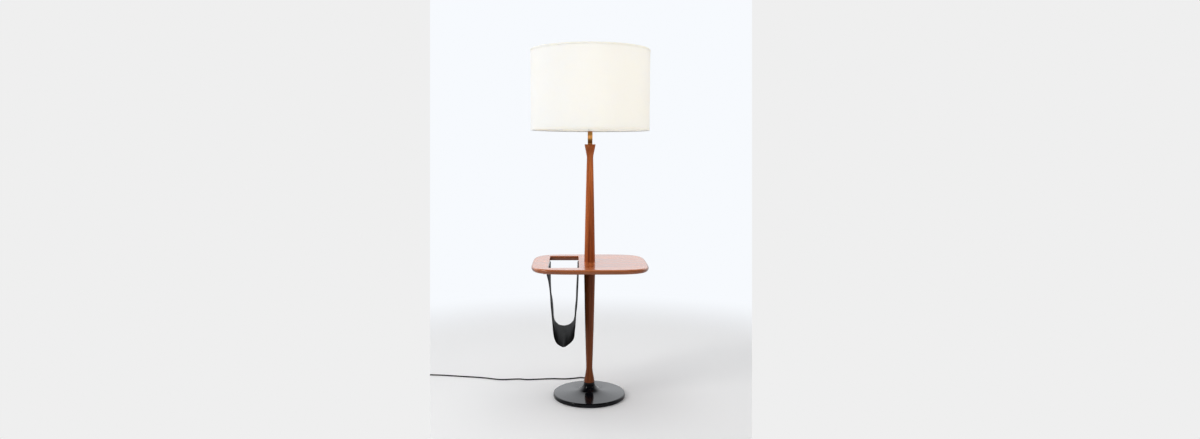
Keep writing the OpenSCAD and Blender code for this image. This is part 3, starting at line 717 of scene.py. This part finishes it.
def make_floor():
    """A pale floor that fades into the background away from the lamp."""
    steps = 96
    mesh = mesh_of("floor", circle(FLOOR_R, FLOOR_Z, steps), [tuple(range(steps))], smooth=False)
    made = Shader("pale_floor", Roughness=0.75, Specular_IOR_Level=0.25)
    made.colour(FLOOR_COLOUR)
    x, y, z = made.split(made.place)
    inputs = {0: made.reach(x, y), 1: FLOOR_FADE[0], 2: FLOOR_FADE[1]}
    fade = made.node("ShaderNodeMapRange", inputs, interpolation_type="SMOOTHSTEP")
    path = made.node("ShaderNodeLightPath").outputs
    sharp = made.math("MAXIMUM", path["Is Camera Ray"], path["Is Glossy Ray"])
    white = made.node("ShaderNodeEmission", {0: (*WHITE, 1), 1: 1.0})
    inputs = {0: made.times(fade.outputs[0], sharp), 1: made.principled.outputs[0], 2: white.outputs[0]}
    blend = made.node("ShaderNodeMixShader", inputs)
    feed(made.tree, made.tree.nodes["Material Output"].inputs[0], blend.outputs[0])
    put("floor", mesh, made.material)


# The light from all round: its colour, and its level from the left and from the right
AMBIENT = (0.97, 0.98, 1.0, 1)
AMBIENT_LEFT = 0.73
AMBIENT_RIGHT = 0.44
AMBIENT_TURN = 0.6      # how far to each side it changes, where 1 is full left or right
# What polished surfaces mirror: its level in front and behind, and where in the sky it changes
ROOM_FRONT = 0.06
ROOM_BACK = 1.0
ROOM_FRONT_AT = -0.30
ROOM_BACK_AT = 0.55
# and how bright it is by the height in the sky, as (height, level): a bright band over the horizon
ROOM_PEAK = 2.3
ROOM_BAND = (
    (0.0, 0.36), (0.14, 0.47), (0.20, 0.70), (0.30, 1.0), (0.56, 1.0), (0.78, 0.26), (1.0, 0.15),
)


def make_world():
    """White behind the lamp, and dimmer on the viewer's side."""
    world = bpy.data.worlds.new("studio")
    bpy.context.scene.world = world
    world.use_nodes = True
    tree = world.node_tree
    tree.nodes.clear()

    def node(kind, inputs=None, **settings):
        return add_node(tree, kind, inputs, **settings).outputs

    def combined(operation, a, b):
        return node("ShaderNodeMath", {0: a, 1: b}, operation=operation)[0]

    def smooth(place, start, end, low, high):
        inputs = {0: place, 1: start, 2: end, 3: low, 4: high}
        return node("ShaderNodeMapRange", inputs, interpolation_type="SMOOTHSTEP")[0]

    def background(colour, level):
        return node("ShaderNodeBackground", {0: colour, 1: level})[0]

    path = node("ShaderNodeLightPath")
    way = node("ShaderNodeTexCoord")["Generated"]
    across, back, up = node("ShaderNodeSeparateXYZ", {0: way})
    side = smooth(back, ROOM_FRONT_AT, ROOM_BACK_AT, ROOM_FRONT, ROOM_BACK)
    level = combined("MULTIPLY", side, ROOM_PEAK)
    level = combined("MULTIPLY", level, add_ramp(tree, up, ROOM_BAND))
    soft = smooth(across, -AMBIENT_TURN, AMBIENT_TURN, AMBIENT_LEFT, AMBIENT_RIGHT)
    mirrored = background((*WHITE, 1), level)
    ambient = background(AMBIENT, soft)
    glossy = node("ShaderNodeMixShader", {0: path["Is Glossy Ray"], 1: ambient, 2: mirrored})[0]
    sharp = combined("MAXIMUM", path["Is Camera Ray"], path["Is Transmission Ray"])
    blend = node("ShaderNodeMixShader", {0: sharp, 1: glossy, 2: background((*WHITE, 1), 1.0)})[0]
    node("ShaderNodeOutputWorld", {0: blend})


LAMP_MIDDLE = (0, 0, 0.9)
SHADE_MIDDLE = (0.06, 0, 1.345)
WARM = (1.0, 0.92, 0.76)
BULB_R = 0.045


def light(name, kind, at, power, colour=(1, 1, 1), look_at=LAMP_MIDDLE, mirrored=False, **settings):
    """A light of that kind; settings are its own, such as its size."""
    data = bpy.data.lights.new(name, kind)
    data.energy = power
    data.color = colour
    for key, value in settings.items():
        setattr(data, key, value)
    made = put(name, data)
    made.location = at
    made.rotation_euler = (Vector(look_at) - Vector(at)).to_track_quat("-Z", "Y").to_euler()
    made.visible_glossy = mirrored
    return made


def panel_light(name, at, power, width, height, **more):
    light(name, "AREA", at, power, shape="RECTANGLE", size=width, size_y=height, **more)


def bulb_light():
    """A little light from the bulb brightens the inside of the shade, and passes the bulb's own glass."""
    low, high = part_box("bulb_glass")
    at = (0, 0, high.z - (high.x - low.x) / 2)
    made = light("bulb_light", "POINT", at, 1.8, (1.0, 0.92, 0.78), shadow_soft_size=BULB_R)
    made.visible_camera = False
    unlit = bpy.data.collections.new("bulb_unlit")
    unlit.objects.link(nodes["bulb_glass"])
    made.light_linking.receiver_collection = unlit
    unlit.collection_objects[0].light_linking.link_state = "EXCLUDE"


def make_lights():
    bulb_light()
    light(
        "shade_right", "SPOT", (2.6, -2.4, 1.75), 148, WARM, SHADE_MIDDLE,
        spot_size=math.radians(13.5), spot_blend=0.2, shadow_soft_size=0.12,
    )
    panel_light("key_left", (-2.9, -1.8, 2.4), 34, 0.9, 1.3, colour=(1.0, 0.99, 0.97), mirrored=True)
    panel_light("fill_right", (2.9, -1.6, 2.1), 5, 0.5, 0.7, colour=(1.0, 0.95, 0.86), mirrored=True)
    panel_light("top", (0, 0.3, 3.4), 24, 2.6, 2.6)


# ---- Cord ----

# The same route as the solid's, in millimetres: out of the strain relief, along the floor, into the coil
COIL_CENTRE = (-830, 255)
COIL_TURNS = 6
COIL_R = 36
COIL_PITCH = 6.6
COIL_OUTER = COIL_R + COIL_PITCH * COIL_TURNS / 4
COIL_Z = 4
LEAD_OUT = 15           # how far the end leaves the coil
PLUG_Z = 7.5
POINTS_PER_TURN = 24
CORD_MM = CORD / MM
ROUTE_STEP = 5
CORD_ROUTE = [
    (0, 187, 9.6), (0, 200, 7.8), (0, 212, 4.6), (-4, 225, 3), (-15, 238, 3), (-38, 244, 3),
    (-72, 233, 3), (-112, 226, 3), (-170, 230, 3), (-252, 221, 3), (-291, 218, 3),
    (-331, 227, 3), (-414, 220, 3), (-489, 244, 3), (-550, 259, 3), (-620, 273, 3),
    (-690, 287, 3), (-762, 297, 3),
    (COIL_CENTRE[0] + 4 * CORD_MM, COIL_CENTRE[1] + COIL_OUTER, COIL_Z),
    (COIL_CENTRE[0] + CORD_MM, COIL_CENTRE[1] + COIL_OUTER, COIL_Z),
]


def coil_point(turned, r, z):
    angle = math.radians(90 + turned)
    return Vector((COIL_CENTRE[0] + r * math.cos(angle), COIL_CENTRE[1] + r * math.sin(angle), z))


def coil_line():
    """Spirals in on the floor layer, climbs, and spirals out again above it."""
    half = 180 * COIL_TURNS
    top = COIL_Z + COIL_PITCH
    line = []
    for k in range(COIL_TURNS * POINTS_PER_TURN + 1):
        turned = 360 * k / POINTS_PER_TURN
        z = COIL_Z + COIL_PITCH * min(1, max(0, (turned - half + 90) / 180))
        line.append(coil_point(turned, COIL_OUTER - COIL_PITCH * (half - abs(turned - half)) / 360, z))
    for k in range(1, POINTS_PER_TURN // 4 + 1):
        share = smoothstep(4 * k / POINTS_PER_TURN)
        turned = 360 * k / POINTS_PER_TURN
        line.append(coil_point(turned, COIL_OUTER + LEAD_OUT * share, lerp(top, PLUG_Z, share)))
    line.append(Vector((COIL_CENTRE[0] - COIL_OUTER - LEAD_OUT, COIL_CENTRE[1] - CORD_MM, PLUG_Z)))
    return line


def make_cord():
    route = [p * MM for p in through(CORD_ROUTE, ROUTE_STEP) + coil_line()]
    data = bpy.data.curves.new("cord", "CURVE")
    data.dimensions = "3D"
    spline = data.splines.new("POLY")
    spline.points.add(len(route) - 1)
    for point, place in zip(spline.points, route):
        point.co = (*place, 1)
    data.bevel_depth = CORD / 2
    data.bevel_resolution = 5
    data.use_fill_caps = True
    spline.use_smooth = True
    cord = new_object("cord", data, "stand", "cord", RUBBER, "cord_run", "cord_coil")
    tie = make_tie()
    plug = make_plug()


def rounded_outline(width, height, r, steps=6):
    """A rectangle with round corners, round its middle."""
    outline = []
    for sx, sy, start in ((1, 1, 0), (-1, 1, 90), (-1, -1, 180), (1, -1, 270)):
        x, y = sx * (width / 2 - r), sy * (height / 2 - r)
        outline += [(x + r * math.cos(a), y + r * math.sin(a)) for a in angles(start, start + 90, steps)]
    return outline


TIE_ROUND = 0.0035
TIE_WALL = 0.001


def make_tie():
    """A flat strap round the bundle."""
    low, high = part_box("cord_tie")
    middle = (low + high) / 2
    size = high - low
    rings = []
    for inset, x in ((0, low.x), (0, high.x), (TIE_WALL, high.x), (TIE_WALL, low.x)):
        shape = rounded_outline(size.y - 2 * inset, size.z - 2 * inset, TIE_ROUND - inset)
        rings.append([(x, middle.y + a, middle.z + b) for a, b in shape])
    mesh = sharpen(loft("cord_tie_strap", rings, closed=True), 40)
    return new_object("cord_tie_strap", mesh, "stand", "tie", MOULDED, "cord_tie")


def plug_stations():
    """The plug's outlines as (share of its length, width, height, corner), in millimetres."""
    stations = [(0.0, 9.2, 9.2, 4.5)]
    for k in range(5):
        at, wide, high = 0.03 + 0.062 * k, 9.4 + 0.7 * k, 9.4 + 0.5 * k
        stations += [(at + step, wide, high, 4.6) for step in (0, 0.032)]
        stations += [(at + step, wide - 1.2, high - 1.2, 4.0) for step in (0.037, 0.057)]
    stations += [(0.36, 13, 11.5, 5.2), (0.42, 18, 13.4, 5.8), (0.50, 20.6, 14.3, 6.2)]
    stations += [(0.56, 20.4, 14.0, 6.2)]
    for k in range(3):
        for step, groove in ((0, 0), (0.012, 1), (0.040, 1), (0.052, 0)):
            stations.append((0.60 + 0.07 * k + step, 20.4 - groove, 14.0 - 0.8 * groove, 6.0 - 0.2 * groove))
    return stations + [(0.85, 21.8, 15.0, 6.4), (0.975, 22.0, 15.0, 6.4), (1.0, 20.8, 13.8, 5.8)]


def make_plug():
    """A moulded plug: ribbed relief, waisted body and grip rings."""
    low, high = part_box("plug_body")
    middle = (low + high) / 2
    rings = []
    for share, width, height, r in plug_stations():
        shape = rounded_outline(width * MM, height * MM, min(r, height / 2 - 0.1) * MM)
        rings.append([(middle.x + a, lerp(high.y, low.y, share), middle.z + b) for a, b in shape])
    mesh = sharpen(loft("plug", rings), 50)
    return new_object("plug", mesh, "stand", "cord", MOULDED, "plug_body")


# ---- Base ----

NECK_R = 0.0235
SWEEP_R = 0.037         # the sweep from the neck into the dish
SWEEP_END_R = 0.052     # where the sweep eases into the dish
DISH_SLOPE = 4.19       # degrees, at the rim
DISH_EASE = 0.022       # how far out the sweep is still felt
RIM_ROUND = 0.006
FOOT_ROUND = 0.0025
SHELL = 0.003


def base_outline(top, neck_r, sweep_r, rim_r, rim_round):
    """The dish's outline as (radius, height), from the neck to the rim."""
    sweep_steps, dish_steps, rim_steps = 30, 40, 12
    start = math.asin((neck_r + sweep_r - SWEEP_END_R) / sweep_r)
    outline = []
    for k in range(sweep_steps + 1):
        angle = lerp(math.pi / 2, start, k / sweep_steps)
        outline.append((neck_r + sweep_r * (1 - math.sin(angle)), top - sweep_r * math.cos(angle)))
    rim = math.radians(DISH_SLOPE)
    r, z = outline[-1]
    step = (rim_r - rim_round * (1 - math.sin(rim)) - r) / dish_steps
    for k in range(dish_steps):
        slope = rim + (start - rim) * math.exp(-(k + 0.5) * step / DISH_EASE)
        r, z = r + step, z - step * math.tan(slope)
        outline.append((r, z))
    for a in angles(90 - DISH_SLOPE, 0, rim_steps)[1:]:
        out, up = math.cos(a) - math.sin(rim), math.sin(a) - math.cos(rim)
        outline.append((r + rim_round * out, z + rim_round * up))
    return outline


def make_base():
    """A spun shell: neck, sweep, shallow dish and rounded rim, hollow below."""
    low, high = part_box("base_shell")
    under = high.z - SHELL
    outer = base_outline(high.z, NECK_R, SWEEP_R, high.x, RIM_ROUND)
    inner = base_outline(high.z, NECK_R - SHELL, SWEEP_R + SHELL, high.x - SHELL, RIM_ROUND - SHELL)
    inner = [(r, min(z, under)) for r, z in inner]
    foot = []
    for a in angles(0, 90, 8):
        foot.append((high.x - FOOT_ROUND * (1 - math.cos(a)), low.z + FOOT_ROUND * (1 - math.sin(a))))
    profile = [(ROD_HOLE, under), (ROD_HOLE, high.z)] + outer + foot + inner[::-1]
    mesh = sharpen(lathe("base_cover", profile, 192), 50)
    new_object("base_cover", mesh, "stand", "black_enamel", ENAMEL, "base_shell")


# ---- Table ----

OUTLINE_POINTS = 256
BORE_POINTS = 48
SLOT_CORNER = 0.004
SLOT_EASED = 0.0016     # rounding of the slot's edges


def superellipse(width, depth, inset, z):
    """The table's outline, drawn in square to its edge."""
    ring = []
    count = OUTLINE_POINTS
    e = 2 / TABLE_POWER
    for k in range(count):
        angle = math.tau * k / count
        c, s = math.cos(angle), math.sin(angle)
        out = Vector((
            math.copysign(abs(c) ** (2 - e), c) / width,
            math.copysign(abs(s) ** (2 - e), s) / depth,
        )).normalized()
        x = math.copysign(abs(c) ** e, c) * width / 2 - inset * out.x
        y = math.copysign(abs(s) ** e, s) * depth / 2 - inset * out.y
        ring.append((x, y, z))
    return ring


def slot_ring(grow, z):
    middle = SLOT_RIGHT - SLOT_WIDTH / 2
    outline = rounded_outline(SLOT_WIDTH + 2 * grow, SLOT_LENGTH + 2 * grow, SLOT_CORNER + grow, steps=8)
    return [(middle + x, y, z) for x, y in outline]


def make_table():
    """One plate with a bullnose edge, a slot with eased edges and the rod's hole."""
    size = table_high - table_low
    half = size.z / 2
    outer = []
    for a in angles(90, -90, 24):
        inset = half * (1 - math.cos(a))
        outer.append(superellipse(size.x, size.y, inset, table_low.z + half * (1 + math.sin(a))))
    easing = [(SLOT_EASED * (1 - math.sin(a)), SLOT_EASED * (1 - math.cos(a))) for a in angles(0, 90, 4)]
    slot = [slot_ring(grow, table_high.z - drop) for grow, drop in easing]
    slot += [slot_ring(grow, table_low.z + rise) for rise, grow in easing]
    bore = [circle(ROD_HOLE, z, BORE_POINTS) for z in (table_high.z, table_low.z)]
    work = bmesh.new()
    walls = []
    for rings in (outer, slot, bore):
        walls.append([[work.verts.new(p) for p in ring] for ring in rings])
    for rings in walls:
        join_rings(work, rings)
    for which in (0, -1):
        edges = []
        for rings in walls:
            ring = rings[which]
            edges += [work.edges.get((ring[k - 1], ring[k])) for k in range(len(ring))]
        bmesh.ops.triangle_fill(work, use_beauty=True, edges=edges)
    mesh = finished(work, bpy.data.meshes.new("table"))
    new_object("table", sharpen(mesh, 50), "stand", "walnut", WALNUT_TABLE, "table_top")


# ---- Sling ----

# The leather's middle line at its front and back edges, in millimetres across and up: it hangs from the
# left flange, turns at the bottom and comes up to the right flange.
SLING_FRONT = [
    (-181, 573), (-175, 549), (-170.5, 523), (-166.7, 487), (-164.6, 446), (-160.7, 404),
    (-157, 362), (-153.8, 326), (-149.3, 302), (-142.5, 285.5), (-135.6, 277.3), (-120.5, 268),
    (-112, 265.4), (-103.5, 268), (-91.7, 277), (-81.7, 285), (-73.6, 295), (-68.5, 306),
    (-66, 330), (-63, 360), (-60.4, 404), (-55.8, 446), (-53.4, 490), (-50.6, 560),
]
SLING_BACK = [
    (-176, 573), (-176, 549), (-176, 523), (-176.2, 480), (-174.5, 442), (-168, 404),
    (-164.2, 362), (-162.6, 326), (-157.4, 304), (-149, 293), (-137.6, 283.7), (-122, 279.6),
    (-114, 278.8), (-106, 279.6), (-97, 281.8), (-86, 286.5), (-76.5, 295), (-69.5, 305),
    (-64.4, 325), (-62.4, 350), (-60, 384), (-57.2, 410), (-56, 465), (-51, 560),
]
FLANGE = 13
FLANGE_BEND = 4
SLING_BELLY = 0.0022
SLING_ACROSS = 150      # points along the curve
SLING_ALONG = 64        # steps from front to back
EDGE_STEPS = 4
EDGE_BULGE = 0.6        # how round the cut edge is


def sling_line(back):
    """The middle line of the leather at a share of the way to the back, flanges included."""
    pairs = zip(SLING_FRONT, SLING_BACK)
    hang = [(lerp(a[0], b[0], back), lerp(a[1], b[1], back)) for a, b in pairs]
    under = (table_low.z - LEATHER / 2) / MM
    left = hang[0][0] - FLANGE_BEND
    right = hang[-1][0] + FLANGE_BEND
    bend = [(FLANGE_BEND * math.sin(a), FLANGE_BEND * math.cos(a)) for a in angles(0, 90, 4)]
    points = [(left - FLANGE, under), (left - FLANGE / 2, under)]
    points += [(left + s, under - FLANGE_BEND + c) for s, c in bend]
    points += hang
    points += [(right - c, under - FLANGE_BEND + s) for s, c in bend]
    points += [(right + FLANGE / 2, under), (right + FLANGE, under)]
    return through([(x, 0, z) for x, z in points], 3)


def make_sling():
    """One thick sheet that bellies a little between its two ends, most where it is not bent."""
    middle = []
    for j in range(SLING_ALONG + 1):
        back = j / SLING_ALONG
        line = [p * MM for p in resample(sling_line(back), SLING_ACROSS)]
        for i, p in enumerate(line):
            share = i / SLING_ACROSS
            slack = math.sin(math.pi * back) * math.sin(math.tau * share) ** 2
            p.x += SLING_BELLY * slack * (1 if share < 0.5 else -1)
            p.y = (back - 0.5) * SLING_LENGTH
        middle.append(line)
    sling_solid(middle)


def sling_solid(middle):
    """Two skins on the middle sheet, and a rounded edge at its front and back."""
    rows, columns = len(middle), len(middle[0])
    rings = []
    for i in range(columns):
        skin = []
        for j in range(rows):
            across = middle[j][min(i + 1, columns - 1)] - middle[j][max(i - 1, 0)]
            back = middle[min(j + 1, rows - 1)][i] - middle[max(j - 1, 0)][i]
            skin.append(back.cross(across).normalized() * (LEATHER / 2))
        line = [row[i] for row in middle]
        ring = [p + out for p, out in zip(line, skin)]
        ring += sling_edge(line[-1], skin[-1], 1)
        ring += [p - out for p, out in zip(line[::-1], skin[::-1])]
        ring += sling_edge(line[0], -skin[0], -1)
        rings.append(ring)
    mesh = sharpen(loft("sling", rings), 60)
    sling = new_object("sling", mesh, "stand", "black_leather", LEATHER_BLACK, "leather_sling")


def sling_edge(point, skin, way):
    """The round of the cut edge, from the outer skin to the inner one."""
    bulge = Vector((0, way * EDGE_BULGE * LEATHER / 2, 0))
    turns = angles(0, 180, EDGE_STEPS)[1:-1]
    return [point + skin * math.cos(a) + bulge * math.sin(a) for a in turns]


SCREWS_A_SIDE = 4
HEAD_R = 0.0035
HEAD_DOME = 0.0013
HEAD_HEIGHT = 0.0022
SHANK_R = 0.0016
DRIVER_HALF = 0.0004    # half of the driver slot's width
DRIVER_DEPTH = 0.0008


def make_screws():
    """Slotted brass screws with domed heads, where the solid has its own."""
    low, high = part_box("sling_screws")
    work = bmesh.new()
    for x, first_turn in ((low.x + HEAD_R, 0), (high.x - HEAD_R, 20)):
        for k in range(SCREWS_A_SIDE):
            y = lerp(low.y + HEAD_R, high.y - HEAD_R, k / (SCREWS_A_SIDE - 1))
            add_screw(work, x, y, low.z, high.z, 35 * k + first_turn)
    mesh = finished(work, bpy.data.meshes.new("screws"))
    new_object("screws", sharpen(mesh, 40), "stand", "brass", BRASS, "sling_screws")


def add_screw(work, x, y, head_z, tip_z, turn):
    """A dome with a driver slot across it, in rows of points along the slot, and a shank."""
    heading = Matrix.Rotation(math.radians(turn), 3, "Z")

    def vertex(px, py, z):
        spot = heading @ Vector((px, py, 0))
        return work.verts.new((x + spot.x, y + spot.y, z))

    side = [HEAD_R * math.cos(math.radians(a)) for a in (3, 12, 24, 36, 48, 60, 72)] + [DRIVER_HALF]
    rows = [(-py, 0) for py in side] + [(-DRIVER_HALF, DRIVER_DEPTH), (DRIVER_HALF, DRIVER_DEPTH)]
    rows += [(py, 0) for py in reversed(side)]
    columns = 16
    grid = []
    for py, sunk in rows:
        reach = math.sqrt(HEAD_R**2 - py**2)
        row = []
        for k in range(columns + 1):
            px = -reach * math.cos(math.pi * k / columns)
            out = (px**2 + py**2) / HEAD_R**2
            row.append(vertex(px, py, head_z + max(HEAD_DOME * out, sunk)))
        grid.append(row)
    for a, b in zip(grid, grid[1:]):
        for k in range(columns):
            work.faces.new((a[k], a[k + 1], b[k + 1], b[k])).smooth = True
    rim = grid[0] + [row[-1] for row in grid[1:-1]] + grid[-1][::-1] + [row[0] for row in grid[-2:0:-1]]
    neck_z = head_z + HEAD_HEIGHT
    rings = [rim]
    for r, z in ((HEAD_R, neck_z), (SHANK_R, neck_z), (SHANK_R, tip_z)):
        ring = []
        for point in rim:
            away = Vector((point.co.x - x, point.co.y - y, 0)).normalized() * r
            ring.append(work.verts.new((x + away.x, y + away.y, z)))
        rings.append(ring)
    join_rings(work, rings)
    work.faces.new(rings[-1])


# ---- Harp ----

HARP_FOOT_X = 0.027
HARP_STRAIGHT = 0.014   # how far the legs rise straight from the saddle
HARP_WIDEST_Z = 1.300


def make_harp():
    """Brass wire in one bow, with its feet in the ferrules."""
    wire_r = (harp_high.y - harp_low.y) / 2
    wide = (harp_high.x - harp_low.x) / 2 - wire_r
    low_z = saddle_top + HARP_STRAIGHT
    top_z = harp_high.z - wire_r
    # a leg swings out from its ferrule to the widest place, and the bow closes over both
    leg = [
        (HARP_FOOT_X, low_z), (HARP_FOOT_X, low_z + 0.040),
        (wide, HARP_WIDEST_Z - 0.055), (wide, HARP_WIDEST_Z),
    ]
    bow = [(wide, HARP_WIDEST_Z), (wide, HARP_WIDEST_Z + 0.110), (0.045, top_z), (0, top_z)]
    half = [Vector((HARP_FOOT_X, 0, harp_low.z))]
    half += bezier([(x, 0, z) for x, z in leg], 28)
    half += bezier([(x, 0, z) for x, z in bow], 36)[1:]
    path = [Vector((-p.x, 0, p.z)) for p in half] + half[-2::-1]
    mesh = sharpen(loft("harp_bow", tube_rings(path, wire_r, 24, Vector((0, 1, 0)))), 60)
    new_object("harp_bow", mesh, "stand", "brass", BRASS, "harp")


# ---- Shade ----

SHADE_STEPS = 240
SHADE_WALL = 0.0016
LAP_ANGLE = math.radians(100)
LAP_WIDTH = 0.012
LAP_HEIGHT = 0.0005
TAPE_THICK = 0.0007
TAPE_LIP = 0.0006       # how far the tape stands over the edge
TAPE_RIPPLE = 0.00012


def make_shade():
    """Linen on a stiff lining, lapped at the back, with tapes folded over both edges."""
    outer = shade_high.x

    def lap(angle):
        off = (angle - LAP_ANGLE + math.pi) % math.tau - math.pi
        return LAP_HEIGHT * (1 - smoothstep(abs(off) * outer / LAP_WIDTH * 2 - 0.6))

    heights = [lerp(shade_low.z, shade_high.z, k / 24) for k in range(25)]
    rings = [circle(outer, z, SHADE_STEPS, lap) for z in heights]
    rings += [circle(outer - SHADE_WALL, z, SHADE_STEPS) for z in reversed(heights)]
    mesh = sharpen(loft("shade_cover", rings, closed=True), 50)
    new_object("shade_cover", mesh, "shade", "shade_fabric", LINEN, "shade_drum")
    make_tape("shade_tape_top", "shade_trim_top", outer, 1)
    make_tape("shade_tape_bottom", "shade_trim_bottom", outer, -1)


def make_tape(name, node, outer, way):
    """A tape that wraps the edge, soft along its borders; way is 1 at the top and -1 at the bottom."""
    low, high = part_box(node)
    edge, hem = (high.z, low.z) if way > 0 else (low.z, high.z)
    inner = outer - SHADE_WALL
    gap = 0.0001
    fold = way * 0.0004
    lip = way * TAPE_LIP
    profile = [
        (outer + gap, hem),
        (outer + TAPE_THICK, hem + fold),
        (outer + TAPE_THICK, edge - fold),
        (outer + TAPE_THICK / 2, edge + lip * 0.7),
        (outer - SHADE_WALL / 2, edge + lip),
        (inner - TAPE_THICK / 2, edge + lip * 0.7),
        (inner - TAPE_THICK, edge - fold),
        (inner - TAPE_THICK, hem + fold * 6),
        (inner - gap, hem + fold * 5),
        (inner - gap, edge),
        (outer + gap, edge),
    ]

    def ripple(angle):
        return TAPE_RIPPLE * math.sin(37 * angle) * math.sin(11 * angle)

    new_object(name, lathe(name, profile, SHADE_STEPS, ripple), "shade", "shade_trim", TAPE, node)


# ---- The scene ----

bpy.context.scene.view_settings.view_transform = "Standard"
dress_kept_nodes()
camera = make_camera()
make_borders(camera)
make_floor()
make_world()
make_lights()
make_cord()
make_base()
make_table()
make_sling()
make_screws()
make_harp()
make_shade()
